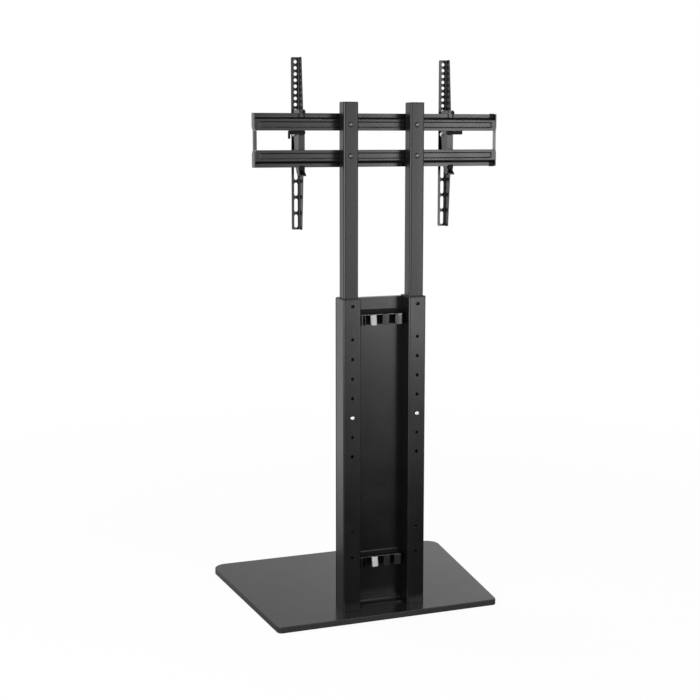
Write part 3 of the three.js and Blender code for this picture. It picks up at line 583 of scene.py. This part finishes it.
# Guide collars and guide shoes
# Moulded black plastic: a collar with a brim in the top of each sleeve, and a shoe on the foot of
# each mast tube with a groove past the height bolt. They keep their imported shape.
MOULDED = skin("moulded_plastic", (0.0035, 0.0035, 0.0036), (0.02, 0.02, 0.02), 0.42, 0.3, 1400, 0.2)
for side in SIDES:
    keep(f"guide_collar_{side}", MOULDED, MOULDED_EDGE)
    keep(f"guide_shoe_{side}", MOULDED, MOULDED_EDGE)


# Cable clips
# One moulding each: a matte back bar that stands above a plate, a round pin into each sleeve's side,
# and, glossier, a ring at the left end and three curved fingers on stems that hold the cables. The
# bottom clip's first finger leans more, and its bar has a glossy bead along the top.
CLIP_WALL, CLIP_PLATE, PLATE_CORNER, BAR_RISE, CLIP_LIFT = 2.4 * MM, 2 * MM, 1.5 * MM, 11 * MM, 5 * MM
PLATE_SETBACK, STEM_SETBACK, BAR_BEAD, BOTTOM_LEAN = 2.2 * CLIP_WALL, 2.5 * CLIP_WALL, 2.6 * MM, 2
FINGER_WIDTH, FINGER_ROUND, FINGER_DROP, FINGER_COLUMNS, FINGER_ROWS = 19 * MM, 4 * MM, 0.3 * MM, 10, 12
FINGER_BENDS, FINGER_TURNS, FINGER_LEANS = (90 * MM, 24 * MM, 80 * MM), (5, 0, 0), (10, -6, -1.5)
FINGER_SHARES = {"top": (-0.17, 0.09, 0.36), "bottom": (-0.13, 0.13, 0.36)}
RING_DIAMETER, RING_FROM, RING_TO, RING_STEPS = 19 * MM, -40, 260, 28
PIN_DIAMETER, PIN_LENGTH, PIN_EDGE, CLIP_EDGE = 8 * MM, 5 * MM, 0.8 * MM, 0.5 * MM
GLOSSY_MOULDED = skin("glossy_moulded_plastic", (0.006, 0.006, 0.0062), (0.03, 0.03, 0.03), 0.15, 1.0, 1400,
                      0.05, spread=0.04)
MATTE_MOULDED = skin("matte_moulded_plastic", (0.0015, 0.0015, 0.0016), (0.02, 0.02, 0.02), 0.6, 0.15, 1400,
                     0.2)


def slab(low, high, corner=0.0):
    """A block between two corners, its upright edges rounded."""
    return prism(rectangle(Vector(low), Vector(high), 0, corner, 3), low[2], high[2])


def shell(outer, inner):
    """A closed sheet between two grids of places."""
    bm = bmesh.new()
    outer, inner = ([[bm.verts.new(place) for place in line] for line in grid] for grid in (outer, inner))
    end, last = len(outer) - 1, len(outer[0]) - 1
    for i in range(end):
        for j in range(last):
            bm.faces.new((outer[i][j], outer[i + 1][j], outer[i + 1][j + 1], outer[i][j + 1]))
            bm.faces.new((inner[i][j + 1], inner[i + 1][j + 1], inner[i + 1][j], inner[i][j]))
        for j in (0, last):
            bm.faces.new((outer[i][j], outer[i + 1][j], inner[i + 1][j], inner[i][j]))
    for j in range(last):
        for i in (0, end):
            bm.faces.new((outer[i][j], outer[i][j + 1], inner[i][j + 1], inner[i][j]))
    return made(bm)


def finger(x, y, low, high, bend):
    """A curved, round-cornered plate that bows towards the rear, in one thickness."""
    grids = []
    for radius in (bend, bend - CLIP_WALL):
        grid = []
        for i in range(FINGER_COLUMNS + 1):
            along = -1 + 2 * i / FINGER_COLUMNS
            angle = along * FINGER_WIDTH / 2 / bend
            into_corner = max(0, FINGER_ROUND - (1 - abs(along)) * FINGER_WIDTH / 2)
            foot = low + FINGER_ROUND - math.sqrt(max(0, FINGER_ROUND ** 2 - into_corner ** 2))
            grid.append([(x + radius * math.sin(angle), y + bend - radius * math.cos(angle),
                          foot + (high - foot) * j / FINGER_ROWS) for j in range(FINGER_ROWS + 1)])
        grids.append(grid)
    return shell(*grids)


def open_ring(x, y, low, high):
    """An upright ring with a gap towards the rear right."""
    angles = [math.radians(RING_FROM + (RING_TO - RING_FROM) * i / RING_STEPS) for i in range(RING_STEPS + 1)]
    arcs = ((RING_DIAMETER / 2, angles), (RING_DIAMETER / 2 - CLIP_WALL, reversed(angles)))
    outline = [(x + r * math.cos(a), y + r * math.sin(a)) for r, arc in arcs for a in arc]
    return prism(outline, low, high)


for level, shares in FINGER_SHARES.items():
    low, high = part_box(f"cable_clip_{level}")
    middle = centre(f"cable_clip_{level}")
    half, width = high.x - PIN_LENGTH, high.x - low.x
    foot, under_plate, bar_top = low.z + CLIP_LIFT, high.z - CLIP_PLATE / 2, high.z + BAR_RISE
    bar_middle, pin_half = high.y - CLIP_WALL / 2, PIN_LENGTH / 2 + CLIP_WALL / 4
    bar = [slab((-half, high.y - CLIP_WALL, foot), (half, high.y, bar_top)),
           slab((half - CLIP_WALL, middle.y - PIN_DIAMETER, foot), (half, high.y, under_plate))]
    for sign in (-1, 1):
        pin = disc(PIN_DIAMETER / 2, -pin_half, pin_half, PIN_EDGE)
        there = Matrix.Translation((sign * (high.x - pin_half), middle.y, middle.z))
        pin.transform(there @ Matrix.Rotation(math.pi / 2, 4, "Y"))
        bar.append(pin)
    holders = [open_ring(RING_DIAMETER / 2 - half, middle.y, foot, under_plate),
               slab((-half, low.y + PLATE_SETBACK, high.z - CLIP_PLATE), (half, bar_middle, high.z),
                    PLATE_CORNER)]
    leans = list(FINGER_LEANS)
    if level == "bottom":
        leans[0] += BOTTOM_LEAN
        holders.append(slab((-half, high.y - CLIP_WALL - BAR_BEAD / 2, bar_top - BAR_BEAD),
                            (half, bar_middle, bar_top)))
    for share, bend, turn, lean in zip(shares, FINGER_BENDS, FINGER_TURNS, leans):
        x = share * width
        back = abs(math.sin(math.radians(lean))) * (high.z - foot) / 2
        there = Matrix.Translation((x, low.y, (foot + high.z) / 2))
        leaned = Matrix.Rotation(math.radians(-lean), 4, "X") @ Matrix.Rotation(math.radians(turn), 4, "Z")
        mesh = finger(x, low.y, foot, high.z - FINGER_DROP, bend)
        mesh.transform(Matrix.Translation((0, back, 0)) @ there @ leaned @ there.inverted())
        holders.append(mesh)
        bar.append(slab((x - CLIP_WALL / 2, low.y + STEM_SETBACK, foot + CLIP_WALL / 2),
                        (x + CLIP_WALL / 2, bar_middle, under_plate)))
    piece(f"cable_clip_bar_{level}", merge(*bar), MATTE_MOULDED, "stand", "black_plastic",
          [f"cable_clip_{level}"], edge=CLIP_EDGE)
    piece(f"cable_clip_fingers_{level}", merge(*holders), GLOSSY_MOULDED, "stand", "black_plastic",
          edge=CLIP_EDGE)


# Height bolts
# Two bright zinc screws with a low round head and a hexagon socket, through a lock hole of each
# sleeve into the mast.
SOCKET_ACROSS, SOCKET_DEPTH, SOCKET_EDGE, ROUND_HEAD, TIP = 4 * MM, 2 * MM, 0.1 * MM, 3.6 * MM, 0.4 * MM
HEAD_PROFILE = ((1, 2.2 * MM), (0.93, 1.2 * MM), (0.75, 0.4 * MM), (0.5, 0))
ALONG_Y = (-math.pi / 2, 0.0, 0.0)


def socketed(unit, finish, across, depth):
    """A turned head with a hexagon socket in its top."""
    return punched(unit, finish, hexagon(across, -depth, depth, SOCKET_EDGE), (0, 0, 0))


def planted(name, unit, names, heads, finish, body, **edges):
    """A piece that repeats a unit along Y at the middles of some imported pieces, for all those named."""
    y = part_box(names[0])[0].y
    places = [(c.x, y, c.z) for c in map(centre, heads)]
    piece(name, copies(unit, places, finish, ALONG_Y), finish, body, "zinc", names, **edges)


bolts = ["height_bolt_left", "height_bolt_right"]
low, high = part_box(bolts[0])
head, length = (high.x - low.x) / 2, high.y - low.y
profile = [(NEAR_AXIS, length), (BOLT_RADIUS - TIP, length), (BOLT_RADIUS, length - TIP),
           (BOLT_RADIUS, ROUND_HEAD), (head, ROUND_HEAD)]
profile += [(share * head, rise) for share, rise in HEAD_PROFILE]
unit = socketed(turned(profile + [(NEAR_AXIS, 0)]), ZINC, SOCKET_ACROSS, SOCKET_DEPTH)
planted("height_bolts", unit, bolts, bolts, ZINC, "stand", **FINE)


# Mast tubes and caps
# Two smaller rectangular tubes that slide in the sleeves, drilled for the rail bolts and the height
# bolt, each closed by a moulded cap with a low crown.
POST_WALL, POST_CORNER, BOLT_HOLE = 2 * MM, 5.6 * MM, 8.6 * MM
DRAWN_COAT = skin("drawn_tube_coat", (0.0025, 0.0025, 0.0028), (0.06, 0.06, 0.062), 0.3, 0.34, 700, 0.2,
                  wear=0.4, dust=0.06, spread=0.12, stretch=0.02)
CAP_PLASTIC = skin("cap_plastic", (0.006, 0.006, 0.0062), (0.03, 0.03, 0.03), 0.32, 0.6, 1400, 0.15)
CAP_SEAM, CAP_ROUND, CAP_CROWN, CAP_TIGHTEST = 0.3 * MM, 1.1 * MM, 0.5 * MM, 0.2 * MM
PLUG_INSET, PLUG_CORNER = 2.4 * MM, 1 * MM
CROWN_SHARES = (0.35, 0.7, 0.97)
bolt_heights = {level: centre(f"rail_bolt_{level}_left").z for level in LEVELS}
lock_height = centre("height_bolt_left").z

for side in SIDES:
    low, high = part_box(f"post_{side}")
    x, y = (low.x + high.x) / 2, (low.y + high.y) / 2
    mesh = tube(low, high, POST_CORNER, POST_WALL)
    mesh = punched(mesh, DRAWN_COAT, prism(ring(BOLT_HOLE), -high.y + low.y, high.y - low.y, "y"),
                   (x, y, bolt_heights["upper"]), (0, 0, bolt_heights["lower"] - bolt_heights["upper"]), 2)
    mesh = punched(mesh, DRAWN_COAT, prism(ring(BOLT_HOLE), -2 * POST_WALL, 2 * POST_WALL, "y"),
                   (x, low.y, lock_height))
    piece(f"post_tube_{side}", mesh, DRAWN_COAT, "mast", "satin_black_coat", [f"post_{side}"],
          edge=SHEET_EDGE)
    low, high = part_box(f"post_cap_{side}")
    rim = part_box(f"post_{side}")[1].z + CAP_SEAM
    top = high.z - CAP_CROWN
    rims = [(PLUG_INSET, PLUG_CORNER, low.z), (PLUG_INSET, PLUG_CORNER, rim), (0, POST_CORNER, rim)]
    rims += [(inset, POST_CORNER, top - CAP_ROUND + rise) for inset, rise in quarter(CAP_ROUND)]
    for share in CROWN_SHARES:
        inset = CAP_ROUND + share * (x - low.x - CAP_ROUND - PLUG_CORNER)
        inset = min(inset, (high.y - low.y) / 2 - PLUG_CORNER / 2)
        corner = max(CAP_TIGHTEST, POST_CORNER * (1 - share))
        rims.append((inset, corner, top + CAP_CROWN * (1 - (1 - share) ** 2)))
    cap = stacked([(rectangle(low, high, inset, corner), z) for inset, corner, z in rims])
    piece(f"post_end_cap_{side}", cap, CAP_PLASTIC, "mast", "black_plastic", [f"post_cap_{side}"])


# Rails
# Two lengths of sheet steel, each with a long round-ended bead pressed into its web and one edge
# set off towards the screen as a lip, above on the upper rail and below on the lower one.
SHEET, LIP, JOGGLE, BEND = 2.5 * MM, 10.5 * MM, 4 * MM, 2.4 * MM
BEAD_WIDTH, BEAD_WALL, BEAD_DEPTH, BEAD_RISE, BEAD_INSET = 16 * MM, 3 * MM, 2 * MM, 14.6 * MM, 8.5 * MM
BEAD_END, BEAD_STEPS = (0, 0.3, 0.55, 0.72, 0.78, 0.83, 0.88, 0.93, 0.97, 1), (0, 0.2, 0.4, 0.6, 0.8, 1, 1.8)
EDGE_ROW, FLAT_ROW = 0.35 * BEAD_INSET, 0.5 * MM
RAIL_COAT = skin("rail_powder_coat", (0.0022, 0.0022, 0.0025), (0.06, 0.06, 0.062), 0.3, 0.46, 800, 0.12,
                 wear=0.4, dust=0.06)


def bent(corners, radius, steps=5):
    """An open line with its inner corners turned by short curves."""
    line = [Vector(corners[0])]
    for before, corner, after in zip(corners, corners[1:], corners[2:]):
        corner = Vector(corner)
        back, on = (Vector(before) - corner).normalized(), (Vector(after) - corner).normalized()
        for step in range(steps + 1):
            t = step / steps
            line.append(corner + back * radius * (1 - t) ** 2 + on * radius * t ** 2)
    return line + [Vector(corners[-1])]


def rail_rows(low, high, up):
    """Places on the rail's rear face, from the web's edge to the lip's, with the normal of each."""
    edge, lip_edge = (low.z, high.z) if up > 0 else (high.z, low.z)
    root = lip_edge - up * LIP
    web_root = root - up * JOGGLE
    reaches = [BEAD_WIDTH / 2 - BEAD_WALL * t for t in BEAD_STEPS]
    flat = [0, EDGE_ROW] + [BEAD_RISE - d for d in reaches] + [BEAD_RISE + d for d in reversed(reaches)]
    points = [Vector((low.y, edge + up * d)) for d in flat]
    points += bent([(low.y, points[-1].y + up * FLAT_ROW), (low.y, web_root), (high.y - SHEET, root),
                    (high.y - SHEET, lip_edge)], BEND)
    rows = []
    for i, point in enumerate(points):
        along = (points[min(i + 1, len(points) - 1)] - points[max(i - 1, 0)]).normalized()
        rows.append((point, Vector((along.y * up, -along.x * up))))
    return rows


def formed_rail(low, high, up):
    """The rail as one sheet, its columns closest together round the bead's ends."""
    reach = high.x - BEAD_INSET - BEAD_WIDTH / 2
    half = [reach * i / 6 for i in range(1, 6)] + [reach + BEAD_WIDTH / 2 * t for t in BEAD_END] + [high.x]
    columns = [-x for x in reversed(half)] + [0] + half
    bead_z = low.z + BEAD_RISE if up > 0 else high.z - BEAD_RISE
    grids = []
    for depth in (0, SHEET):
        grid = []
        for x in columns:
            line = []
            for point, normal in rail_rows(low, high, up):
                away = math.hypot(max(0, abs(x) - reach), point.y - bead_z)
                t = min(1, max(0, (BEAD_WIDTH / 2 - away) / BEAD_WALL))
                bead = BEAD_DEPTH * t * t * (3 - 2 * t)
                line.append((x, point.x + bead + normal.x * depth, point.y + normal.y * depth))
            grid.append(line)
        grids.append(grid)
    return shell(*grids)


for level, up in (("upper", 1), ("lower", -1)):
    low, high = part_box(f"{level}_rail")
    mesh = formed_rail(low, high, up)
    for side in SIDES:
        x = centre(f"rail_bolt_{level}_{side}").x
        mesh = punched(mesh, RAIL_COAT, prism(ring(BOLT_HOLE), -4 * SHEET, 4 * SHEET, "y"),
                       (x, low.y, bolt_heights[level]))
    piece(f"formed_rail_{level}", mesh, RAIL_COAT, "mast", "satin_black_coat", [f"{level}_rail"],
          edge=SHEET_EDGE)


# End ties and slide stops
# Waisted sheet plates over the rails' ends, folded over to a narrow flange between the rails, and at
# the right-hand end of each lip a matte moulded stop, pushed on after the arms.
TIE_FLANGE, TIE_WAIST, TIE_SETBACK, TIE_SLOPE, JOIN = 8 * MM, 13 * MM, 3 * MM, 9 * MM, 0.3 * MM
TIE_EDGE, STOP_EDGE = 0.5 * MM, 0.7 * MM
TIE_COAT = skin("end_tie_coat", (0.006, 0.006, 0.0065), (0.08, 0.08, 0.082), 0.3, 0.75, 800, 0.12, dust=0.1)
rail_low, rail_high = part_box("lower_rail")[1].z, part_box("upper_rail")[0].z
for side, outward in (("left", -1), ("right", 1)):
    low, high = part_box(f"rail_end_tie_{side}")
    waist, inner_edge = low.y + TIE_WAIST, low.y + TIE_SETBACK
    outline = [(low.y, low.z), (high.y, low.z), (high.y, rail_low - TIE_SLOPE), (waist, rail_low),
               (waist, rail_high), (high.y, rail_high + TIE_SLOPE), (high.y, high.z), (low.y, high.z),
               (low.y, rail_high + TIE_SLOPE), (inner_edge, rail_high), (inner_edge, rail_low),
               (low.y, rail_low - TIE_SLOPE)]
    outer = high.x if outward > 0 else -low.x
    plate = prism(outline, outer - SHEET, outer, "x")
    flange = slab((outer - TIE_FLANGE, inner_edge, rail_low + JOIN),
                  (outer - SHEET / 2, inner_edge + SHEET, rail_high - JOIN))
    mesh = merge(plate, flange)
    if outward < 0:
        mesh.transform(Matrix.Scale(-1, 4, (1, 0, 0)))
        mesh.flip_normals()
    piece(f"end_tie_{side}", mesh, TIE_COAT, "mast", "satin_black_coat", [f"rail_end_tie_{side}"],
          edge=TIE_EDGE)
for level in LEVELS:
    keep(f"slide_stop_{level}", MATTE_MOULDED, STOP_EDGE)


# Rail bolts and nuts
# Four blackened bolts with domed heads and hexagon sockets behind the mast tubes, through tube and
# rail into zinc hexagon nuts on the rails' beads.
HEAD_HEIGHT, DOME_RISE, HEAD_SOCKET, HEAD_SOCKET_DEPTH = 5 * MM, 3.4 * MM, 5 * MM, 2.6 * MM
NUT_HEIGHT, NUT_BORE = 6 * MM, 8.1 * MM
BLACKENED = skin("blackened_steel", (0.012, 0.012, 0.013), (0.08, 0.08, 0.08), 0.22, 0.9, 1400, 0.06)
corners = [f"{level}_{side}" for level in LEVELS for side in SIDES]
bolts, nuts = [f"rail_bolt_{corner}" for corner in corners], [f"rail_nut_{corner}" for corner in corners]
low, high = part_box(bolts[0])
head, length = (high.x - low.x) / 2, high.y - low.y
dome = [(max(NEAR_AXIS, head * out), DOME_RISE * rise) for rise, out in reversed(quarter(1, 9))]
unit = turned([(NEAR_AXIS, HEAD_HEIGHT), (head, HEAD_HEIGHT)] + dome)
unit = socketed(unit, BLACKENED, HEAD_SOCKET, HEAD_SOCKET_DEPTH)
unit = merge(unit, thread(BOLT_RADIUS, HEAD_HEIGHT - CHAMFER, length))
planted("rail_bolts", unit, bolts, bolts, BLACKENED, "mast")
low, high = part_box(nuts[0])
unit = hexagon((high.x - low.x) * HEXAGON_ACROSS, 0, NUT_HEIGHT, CHAMFER)
unit = punched(unit, ZINC, prism(ring(NUT_BORE), -NUT_HEIGHT, 2 * NUT_HEIGHT), (0, 0, 0))
planted("rail_nuts", unit, nuts, bolts, ZINC, "mast", **FINE)


# Screen arms
# Two long angles folded from sheet: a flat face with nine round holes above and four slots below
# for the screen's screws, and a side flange that deepens where it is bolted to its bracket.
ARM_TIP, ARM_CORNER, FOLD_OUTER, FOLD_INNER = 20 * MM, 3 * MM, 3.6 * MM, 1.1 * MM
ARM_HOLE, ARM_PITCH, ARM_HOLES, TOP_HOLE_INSET = 8.6 * MM, 15 * MM, 9, 11.3 * MM
ARM_SLOT_LENGTH, ARM_SLOT_WIDTH, ARM_SLOT_PITCH, ARM_SLOTS, BOTTOM_SLOT_INSET = (
    33 * MM, 9.5 * MM, 40 * MM, 4, 21.5 * MM)
GUIDE_HOLE = 6.6 * MM


def arm_section(low, high, depth, shift):
    """The angle's section: its flat face, its fold and its flange, drawn in at the arm's tips."""
    x0, x1, front, rear = low.x + shift, high.x, high.y, high.y - depth + shift
    outer = [(x1 - FOLD_OUTER + rise, front - inset) for inset, rise in quarter(FOLD_OUTER)]
    inner = [(x1 - SHEET - inset, front - SHEET - FOLD_INNER + rise) for inset, rise in quarter(FOLD_INNER)]
    return [(x0, front), *outer, (x1, rear), (x1 - SHEET, rear), *inner, (x0, front - SHEET)]


def arm_mesh(low, high, deep_from, deep_to):
    """The folded angle, lofted through its tips and the places where its flange is deepest."""
    tip = [(inset, ARM_CORNER - rise) for inset, rise in quarter(ARM_CORNER, 5)]
    deepest = high.y - low.y

    def depth(z):
        share = min(1, (z - low.z) / (deep_from - low.z), (high.z - z) / (high.z - deep_to))
        return ARM_TIP + (deepest - ARM_TIP) * share

    stations = [(low.z + rise, shift) for rise, shift in tip] + [(deep_from, 0), (deep_to, 0)]
    stations += [(high.z - rise, shift) for rise, shift in reversed(tip)]
    return stacked([(arm_section(low, high, depth(z), shift), z) for z, shift in stations])


for side in SIDES:
    low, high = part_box(f"arm_{side}")
    x, y, reach = centre(f"arm_{side}").x, high.y - SHEET / 2, 3 * SHEET
    bracket_low, bracket_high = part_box(f"hook_bracket_{side}")
    mesh = arm_mesh(low, high, bracket_low.z, bracket_high.z)
    upright = [(b, a) for a, b in oval(ARM_SLOT_LENGTH, ARM_SLOT_WIDTH)]
    for outline, z, pitch, count in ((ring(ARM_HOLE), high.z - TOP_HOLE_INSET, -ARM_PITCH, ARM_HOLES),
                                     (upright, low.z + BOTTOM_SLOT_INSET, ARM_SLOT_PITCH, ARM_SLOTS)):
        cutter = prism(outline, -reach, reach, "y")
        mesh = punched(mesh, RAIL_COAT, cutter, (x, y, z), (0, 0, pitch), count)
    for name, diameter in ((f"tilt_pivot_{side}", BOLT_HOLE), (f"tilt_guide_bolt_{side}", GUIDE_HOLE)):
        mesh = punched(mesh, RAIL_COAT, prism(ring(diameter), -reach, reach, "x"),
                       (high.x - SHEET / 2, centre(name).y, centre(name).z))
    piece(f"screen_arm_{side}", mesh, RAIL_COAT, f"{side}_arm_tilting", "satin_black_coat", [f"arm_{side}"],
          edge=SHEET_EDGE)


# Hook brackets
# Narrow folded channels that hook over the upper rail's lip. Their cheeks carry the tilt pivot and
# the curved guide slot, and a bent tab sits below the lower rail.
for side in SIDES:
    keep(f"hook_bracket_{side}", RAIL_COAT, BROKEN_EDGE)


# Tilt bolts
# A hexagon bolt at each arm's pivot and a smaller one in its guide slot, with washers, and nuts on
# the bracket's far cheek.
WASHER, WASHER_EDGE, TILT_EDGE = 1 * MM, 0.2 * MM, 0.12 * MM
TILT_BOLTS = {"tilt_pivot": (4 * MM, 5 * MM), "tilt_guide_bolt": (3 * MM, 4 * MM)}
ALONG_X = (0.0, math.pi / 2, 0.0)
for side in SIDES:
    names, meshes = [f"{bolt}_{side}" for bolt in TILT_BOLTS], []
    for name, (shank, height) in zip(names, TILT_BOLTS.values()):
        low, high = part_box(name)
        corner, length = (high.y - low.y) / 2, high.x - low.x
        across = 2 * corner * HEXAGON_ACROSS
        nut = hexagon(across, 0, height - WASHER, CHAMFER)
        nut.transform(Matrix.Translation((0, 0, height - WASHER)) @ Matrix.Rotation(math.pi, 4, "X"))
        unit = merge(
            nut,
            disc(corner, height - WASHER, height, WASHER_EDGE),
            thread(shank, CHAMFER, length - height / 2),
            disc(corner, length - height, length - height + WASHER, WASHER_EDGE),
            hexagon(across, length - height + WASHER, length, CHAMFER),
        )
        meshes.append(copies(unit, [(low.x, centre(name).y, centre(name).z)], ZINC, ALONG_X))
    piece(f"tilt_bolts_{side}", merge(*meshes), ZINC, f"{side}_arm_tilting", "zinc", names,
          edge=TILT_EDGE, edge_steps=1)


# Lock levers and latches
# Matte black mouldings on each bracket: a hooked lever with a proud hub on a headed pin under the
# upper rail, its right one turned half way round, and a latch that holds behind the lower lip.
LEVER_LENGTH, LEVER_TAIL, LEVER_BAR, HOOK_WIDTH, HOOK_DROP = 34 * MM, 10 * MM, 9.5 * MM, 5.5 * MM, 15.5 * MM
LEVER_THICK, LEVER_ROUND, HOOK_ROUND, HOOK_NOOK = 5 * MM, 2.6 * MM, 1.8 * MM, 1 * MM
HUB, HUB_PROUD, PIN_FROM, LEVER_PIN, LEVER_PIN_HEAD, LEVER_HEAD = (
    13 * MM, 0.7 * MM, 0.15 * MM, 5 * MM, 7 * MM, 2.5 * MM)
half, hook = LEVER_BAR / 2, HOOK_WIDTH - LEVER_LENGTH
outline = rounded([(-LEVER_LENGTH, half, LEVER_ROUND), (-LEVER_LENGTH, -HOOK_DROP, HOOK_ROUND),
                   (hook, -HOOK_DROP, HOOK_ROUND), (hook, -half, HOOK_NOOK),
                   (LEVER_TAIL, -half, LEVER_ROUND), (LEVER_TAIL, half, LEVER_ROUND)], 4)
for side in SIDES:
    low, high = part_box(f"lock_lever_{side}")
    depth = high.y - low.y
    pin_x = low.x + LEVER_LENGTH if side == "left" else high.x - LEVER_LENGTH
    pin_z = high.z - HUB / 2 if side == "left" else low.z + HUB / 2
    mesh = merge(
        prism(outline, HUB_PROUD, LEVER_THICK, "y"),
        prism(ring(HUB), 0, LEVER_THICK, "y"),
        prism(ring(LEVER_PIN, 20), PIN_FROM, depth, "y"),
        prism(ring(LEVER_PIN_HEAD, 20), depth - LEVER_HEAD, depth, "y"),
    )
    if side == "right":
        mesh.transform(Matrix.Rotation(math.pi, 4, "Y"))
    mesh.transform(Matrix.Translation((pin_x, low.y, pin_z)))
    piece(f"hooked_lever_{side}", mesh, MATTE_MOULDED, f"{side}_lever", "black_plastic",
          [f"lock_lever_{side}"], edge=MOULDED_EDGE)
    keep(f"latch_{side}", MATTE_MOULDED, MOULDED_EDGE)


# Studio
# A plain pale floor under a white surround, and four soft lamps. In the object's gloss the floor is
# dim near the stand and white far off, and the surround is dim overhead and a little in its middle.
FLOOR_SIZE, FLOOR_PAINT, FLOOR_ROUGHNESS = 14.0, (0.82, 0.82, 0.82, 1), 0.9
AMBIENT_COLOUR, AMBIENT_GLOW, WHITE = (0.9, 0.92, 0.95, 1), 0.45, (1, 1, 1, 1)
DIM_CENTRE, DIM_RADIUS, BRIGHT_RADIUS, DIM_GLOW = (0.1, -0.6, 0), 0.45, 2.4, 0.13
NEAR_GLOW, FADE_FROM, FADE_TO = 0.94, 0.9, 2.6
CEILING_FROM, CEILING_TO, CEILING_GLOW = 0.4, 0.8, 0.05
MIDDLE, MIDDLE_FROM, MIDDLE_TO, MIDDLE_GLOW = 0.08, 0.14, 0.34, 0.7


def blended(tree, share, first, second):
    """Two shaders mixed by a share of the second."""
    return add_node(tree, "ShaderNodeMixShader", _0=share, _1=first, _2=second).outputs[0]


floor_mesh = bpy.data.meshes.new("floor")
s = FLOOR_SIZE / 2
floor_mesh.from_pydata([(-s, -s, 0), (s, -s, 0), (s, s, 0), (-s, s, 0)], [], [(0, 1, 2, 3)])
floor = placed("floor", floor_mesh)

paper = bpy.data.materials.new("pale_floor")
paper.use_nodes = True
tree = paper.node_tree
paint = tree.nodes["Principled BSDF"]
paint.inputs["Base Color"].default_value = FLOOR_PAINT
paint.inputs["Roughness"].default_value = FLOOR_ROUGHNESS
rays = add_node(tree, "ShaderNodeLightPath").outputs
place = add_node(tree, "ShaderNodeTexCoord").outputs["Object"]
reach = add_node(tree, "ShaderNodeVectorMath", {"operation": "LENGTH"}, _0=place).outputs["Value"]
white = add_node(tree, "ShaderNodeEmission", Color=WHITE, Strength=1.0).outputs[0]
seen_floor = blended(tree, ramp(tree, reach, FADE_FROM, FADE_TO, NEAR_GLOW), paint.outputs[0], white)
from_dim = add_node(tree, "ShaderNodeVectorMath", {"operation": "DISTANCE"}, _0=place, _1=DIM_CENTRE)
glow = ramp(tree, from_dim.outputs["Value"], DIM_RADIUS, BRIGHT_RADIUS, DIM_GLOW)
mirrored = add_node(tree, "ShaderNodeEmission", Color=WHITE, Strength=glow).outputs[0]
for_camera = blended(tree, rays["Is Camera Ray"], paint.outputs[0], seen_floor)
mixed = blended(tree, rays["Is Glossy Ray"], for_camera, mirrored)
tree.links.new(mixed, tree.nodes["Material Output"].inputs["Surface"])
floor_mesh.materials.append(paper)

world = bpy.data.worlds.new("studio")
bpy.context.scene.world = world
world.use_nodes = True
tree = world.node_tree
ambient = tree.nodes["Background"]
ambient.inputs["Color"].default_value = AMBIENT_COLOUR
ambient.inputs["Strength"].default_value = AMBIENT_GLOW
rays = add_node(tree, "ShaderNodeLightPath").outputs
seen = maths(tree, "MAXIMUM", rays["Is Camera Ray"], rays["Is Glossy Ray"])
seen = maths(tree, "MAXIMUM", seen, rays["Is Transmission Ray"])
direction = add_node(tree, "ShaderNodeTexCoord").outputs["Generated"]
parts = add_node(tree, "ShaderNodeSeparateXYZ", Vector=direction).outputs
ceiling = ramp(tree, parts["Z"], CEILING_FROM, CEILING_TO, 1.0, CEILING_GLOW)
off_middle = maths(tree, "SUBTRACT", parts["X"], MIDDLE)
off_middle = add_node(tree, "ShaderNodeMath", {"operation": "ABSOLUTE"}, _0=off_middle).outputs[0]
middle = ramp(tree, off_middle, MIDDLE_FROM, MIDDLE_TO, MIDDLE_GLOW)
surround = maths(tree, "MAXIMUM", rays["Is Camera Ray"], maths(tree, "MULTIPLY", ceiling, middle))
white = add_node(tree, "ShaderNodeBackground", Color=WHITE, Strength=surround).outputs[0]
mixed = blended(tree, seen, ambient.outputs[0], white)
tree.links.new(mixed, tree.nodes["World Output"].inputs["Surface"])


def soft_light(name, place, aim, width, height, power):
    """A large plain panel of light that faces a point."""
    data = bpy.data.lights.new(name, "AREA")
    data.shape = "RECTANGLE"
    data.size, data.size_y, data.energy = width, height, power
    lamp = placed(name, data)
    lamp.location = place
    lamp.rotation_euler = (Vector(aim) - Vector(place)).to_track_quat("-Z", "Y").to_euler()


soft_light("overhead", (-1.1, 1.2, 3.7), (0, 0, 0.6), 1.4, 1.2, 40)
soft_light("right_rear", (1.95, -3.45, 0.95), (0, -0.2, 0.95), 1.5, 1.6, 42)
soft_light("left_rear", (-2.6, -1.9, 1.1), (0, -0.2, 1.0), 2.4, 2.0, 100)
soft_light("right_high", (1.0, -2.7, 3.0), (0, -0.2, 1.25), 0.8, 0.8, 25)


# Camera
# Behind and left of the stand and above it, as the photograph was taken.
CAMERA_PLACE = (-1.1603, -3.1866, 1.2312)
CAMERA_YAW, CAMERA_PITCH, CAMERA_SHIFT = 0.344, 0.134, -0.06
FOCAL_PIXELS, FRAME_PIXELS = 1279.2, 700
camera_data = bpy.data.cameras.new("camera")
camera_data.lens = camera_data.sensor_width * FOCAL_PIXELS / FRAME_PIXELS
camera_data.shift_y = CAMERA_SHIFT
camera = placed("camera", camera_data)
camera.location = CAMERA_PLACE
camera.rotation_euler = (math.pi / 2 - CAMERA_PITCH, 0, -CAMERA_YAW)
bpy.context.scene.camera = camera
bpy.context.scene.view_settings.view_transform = "Standard"
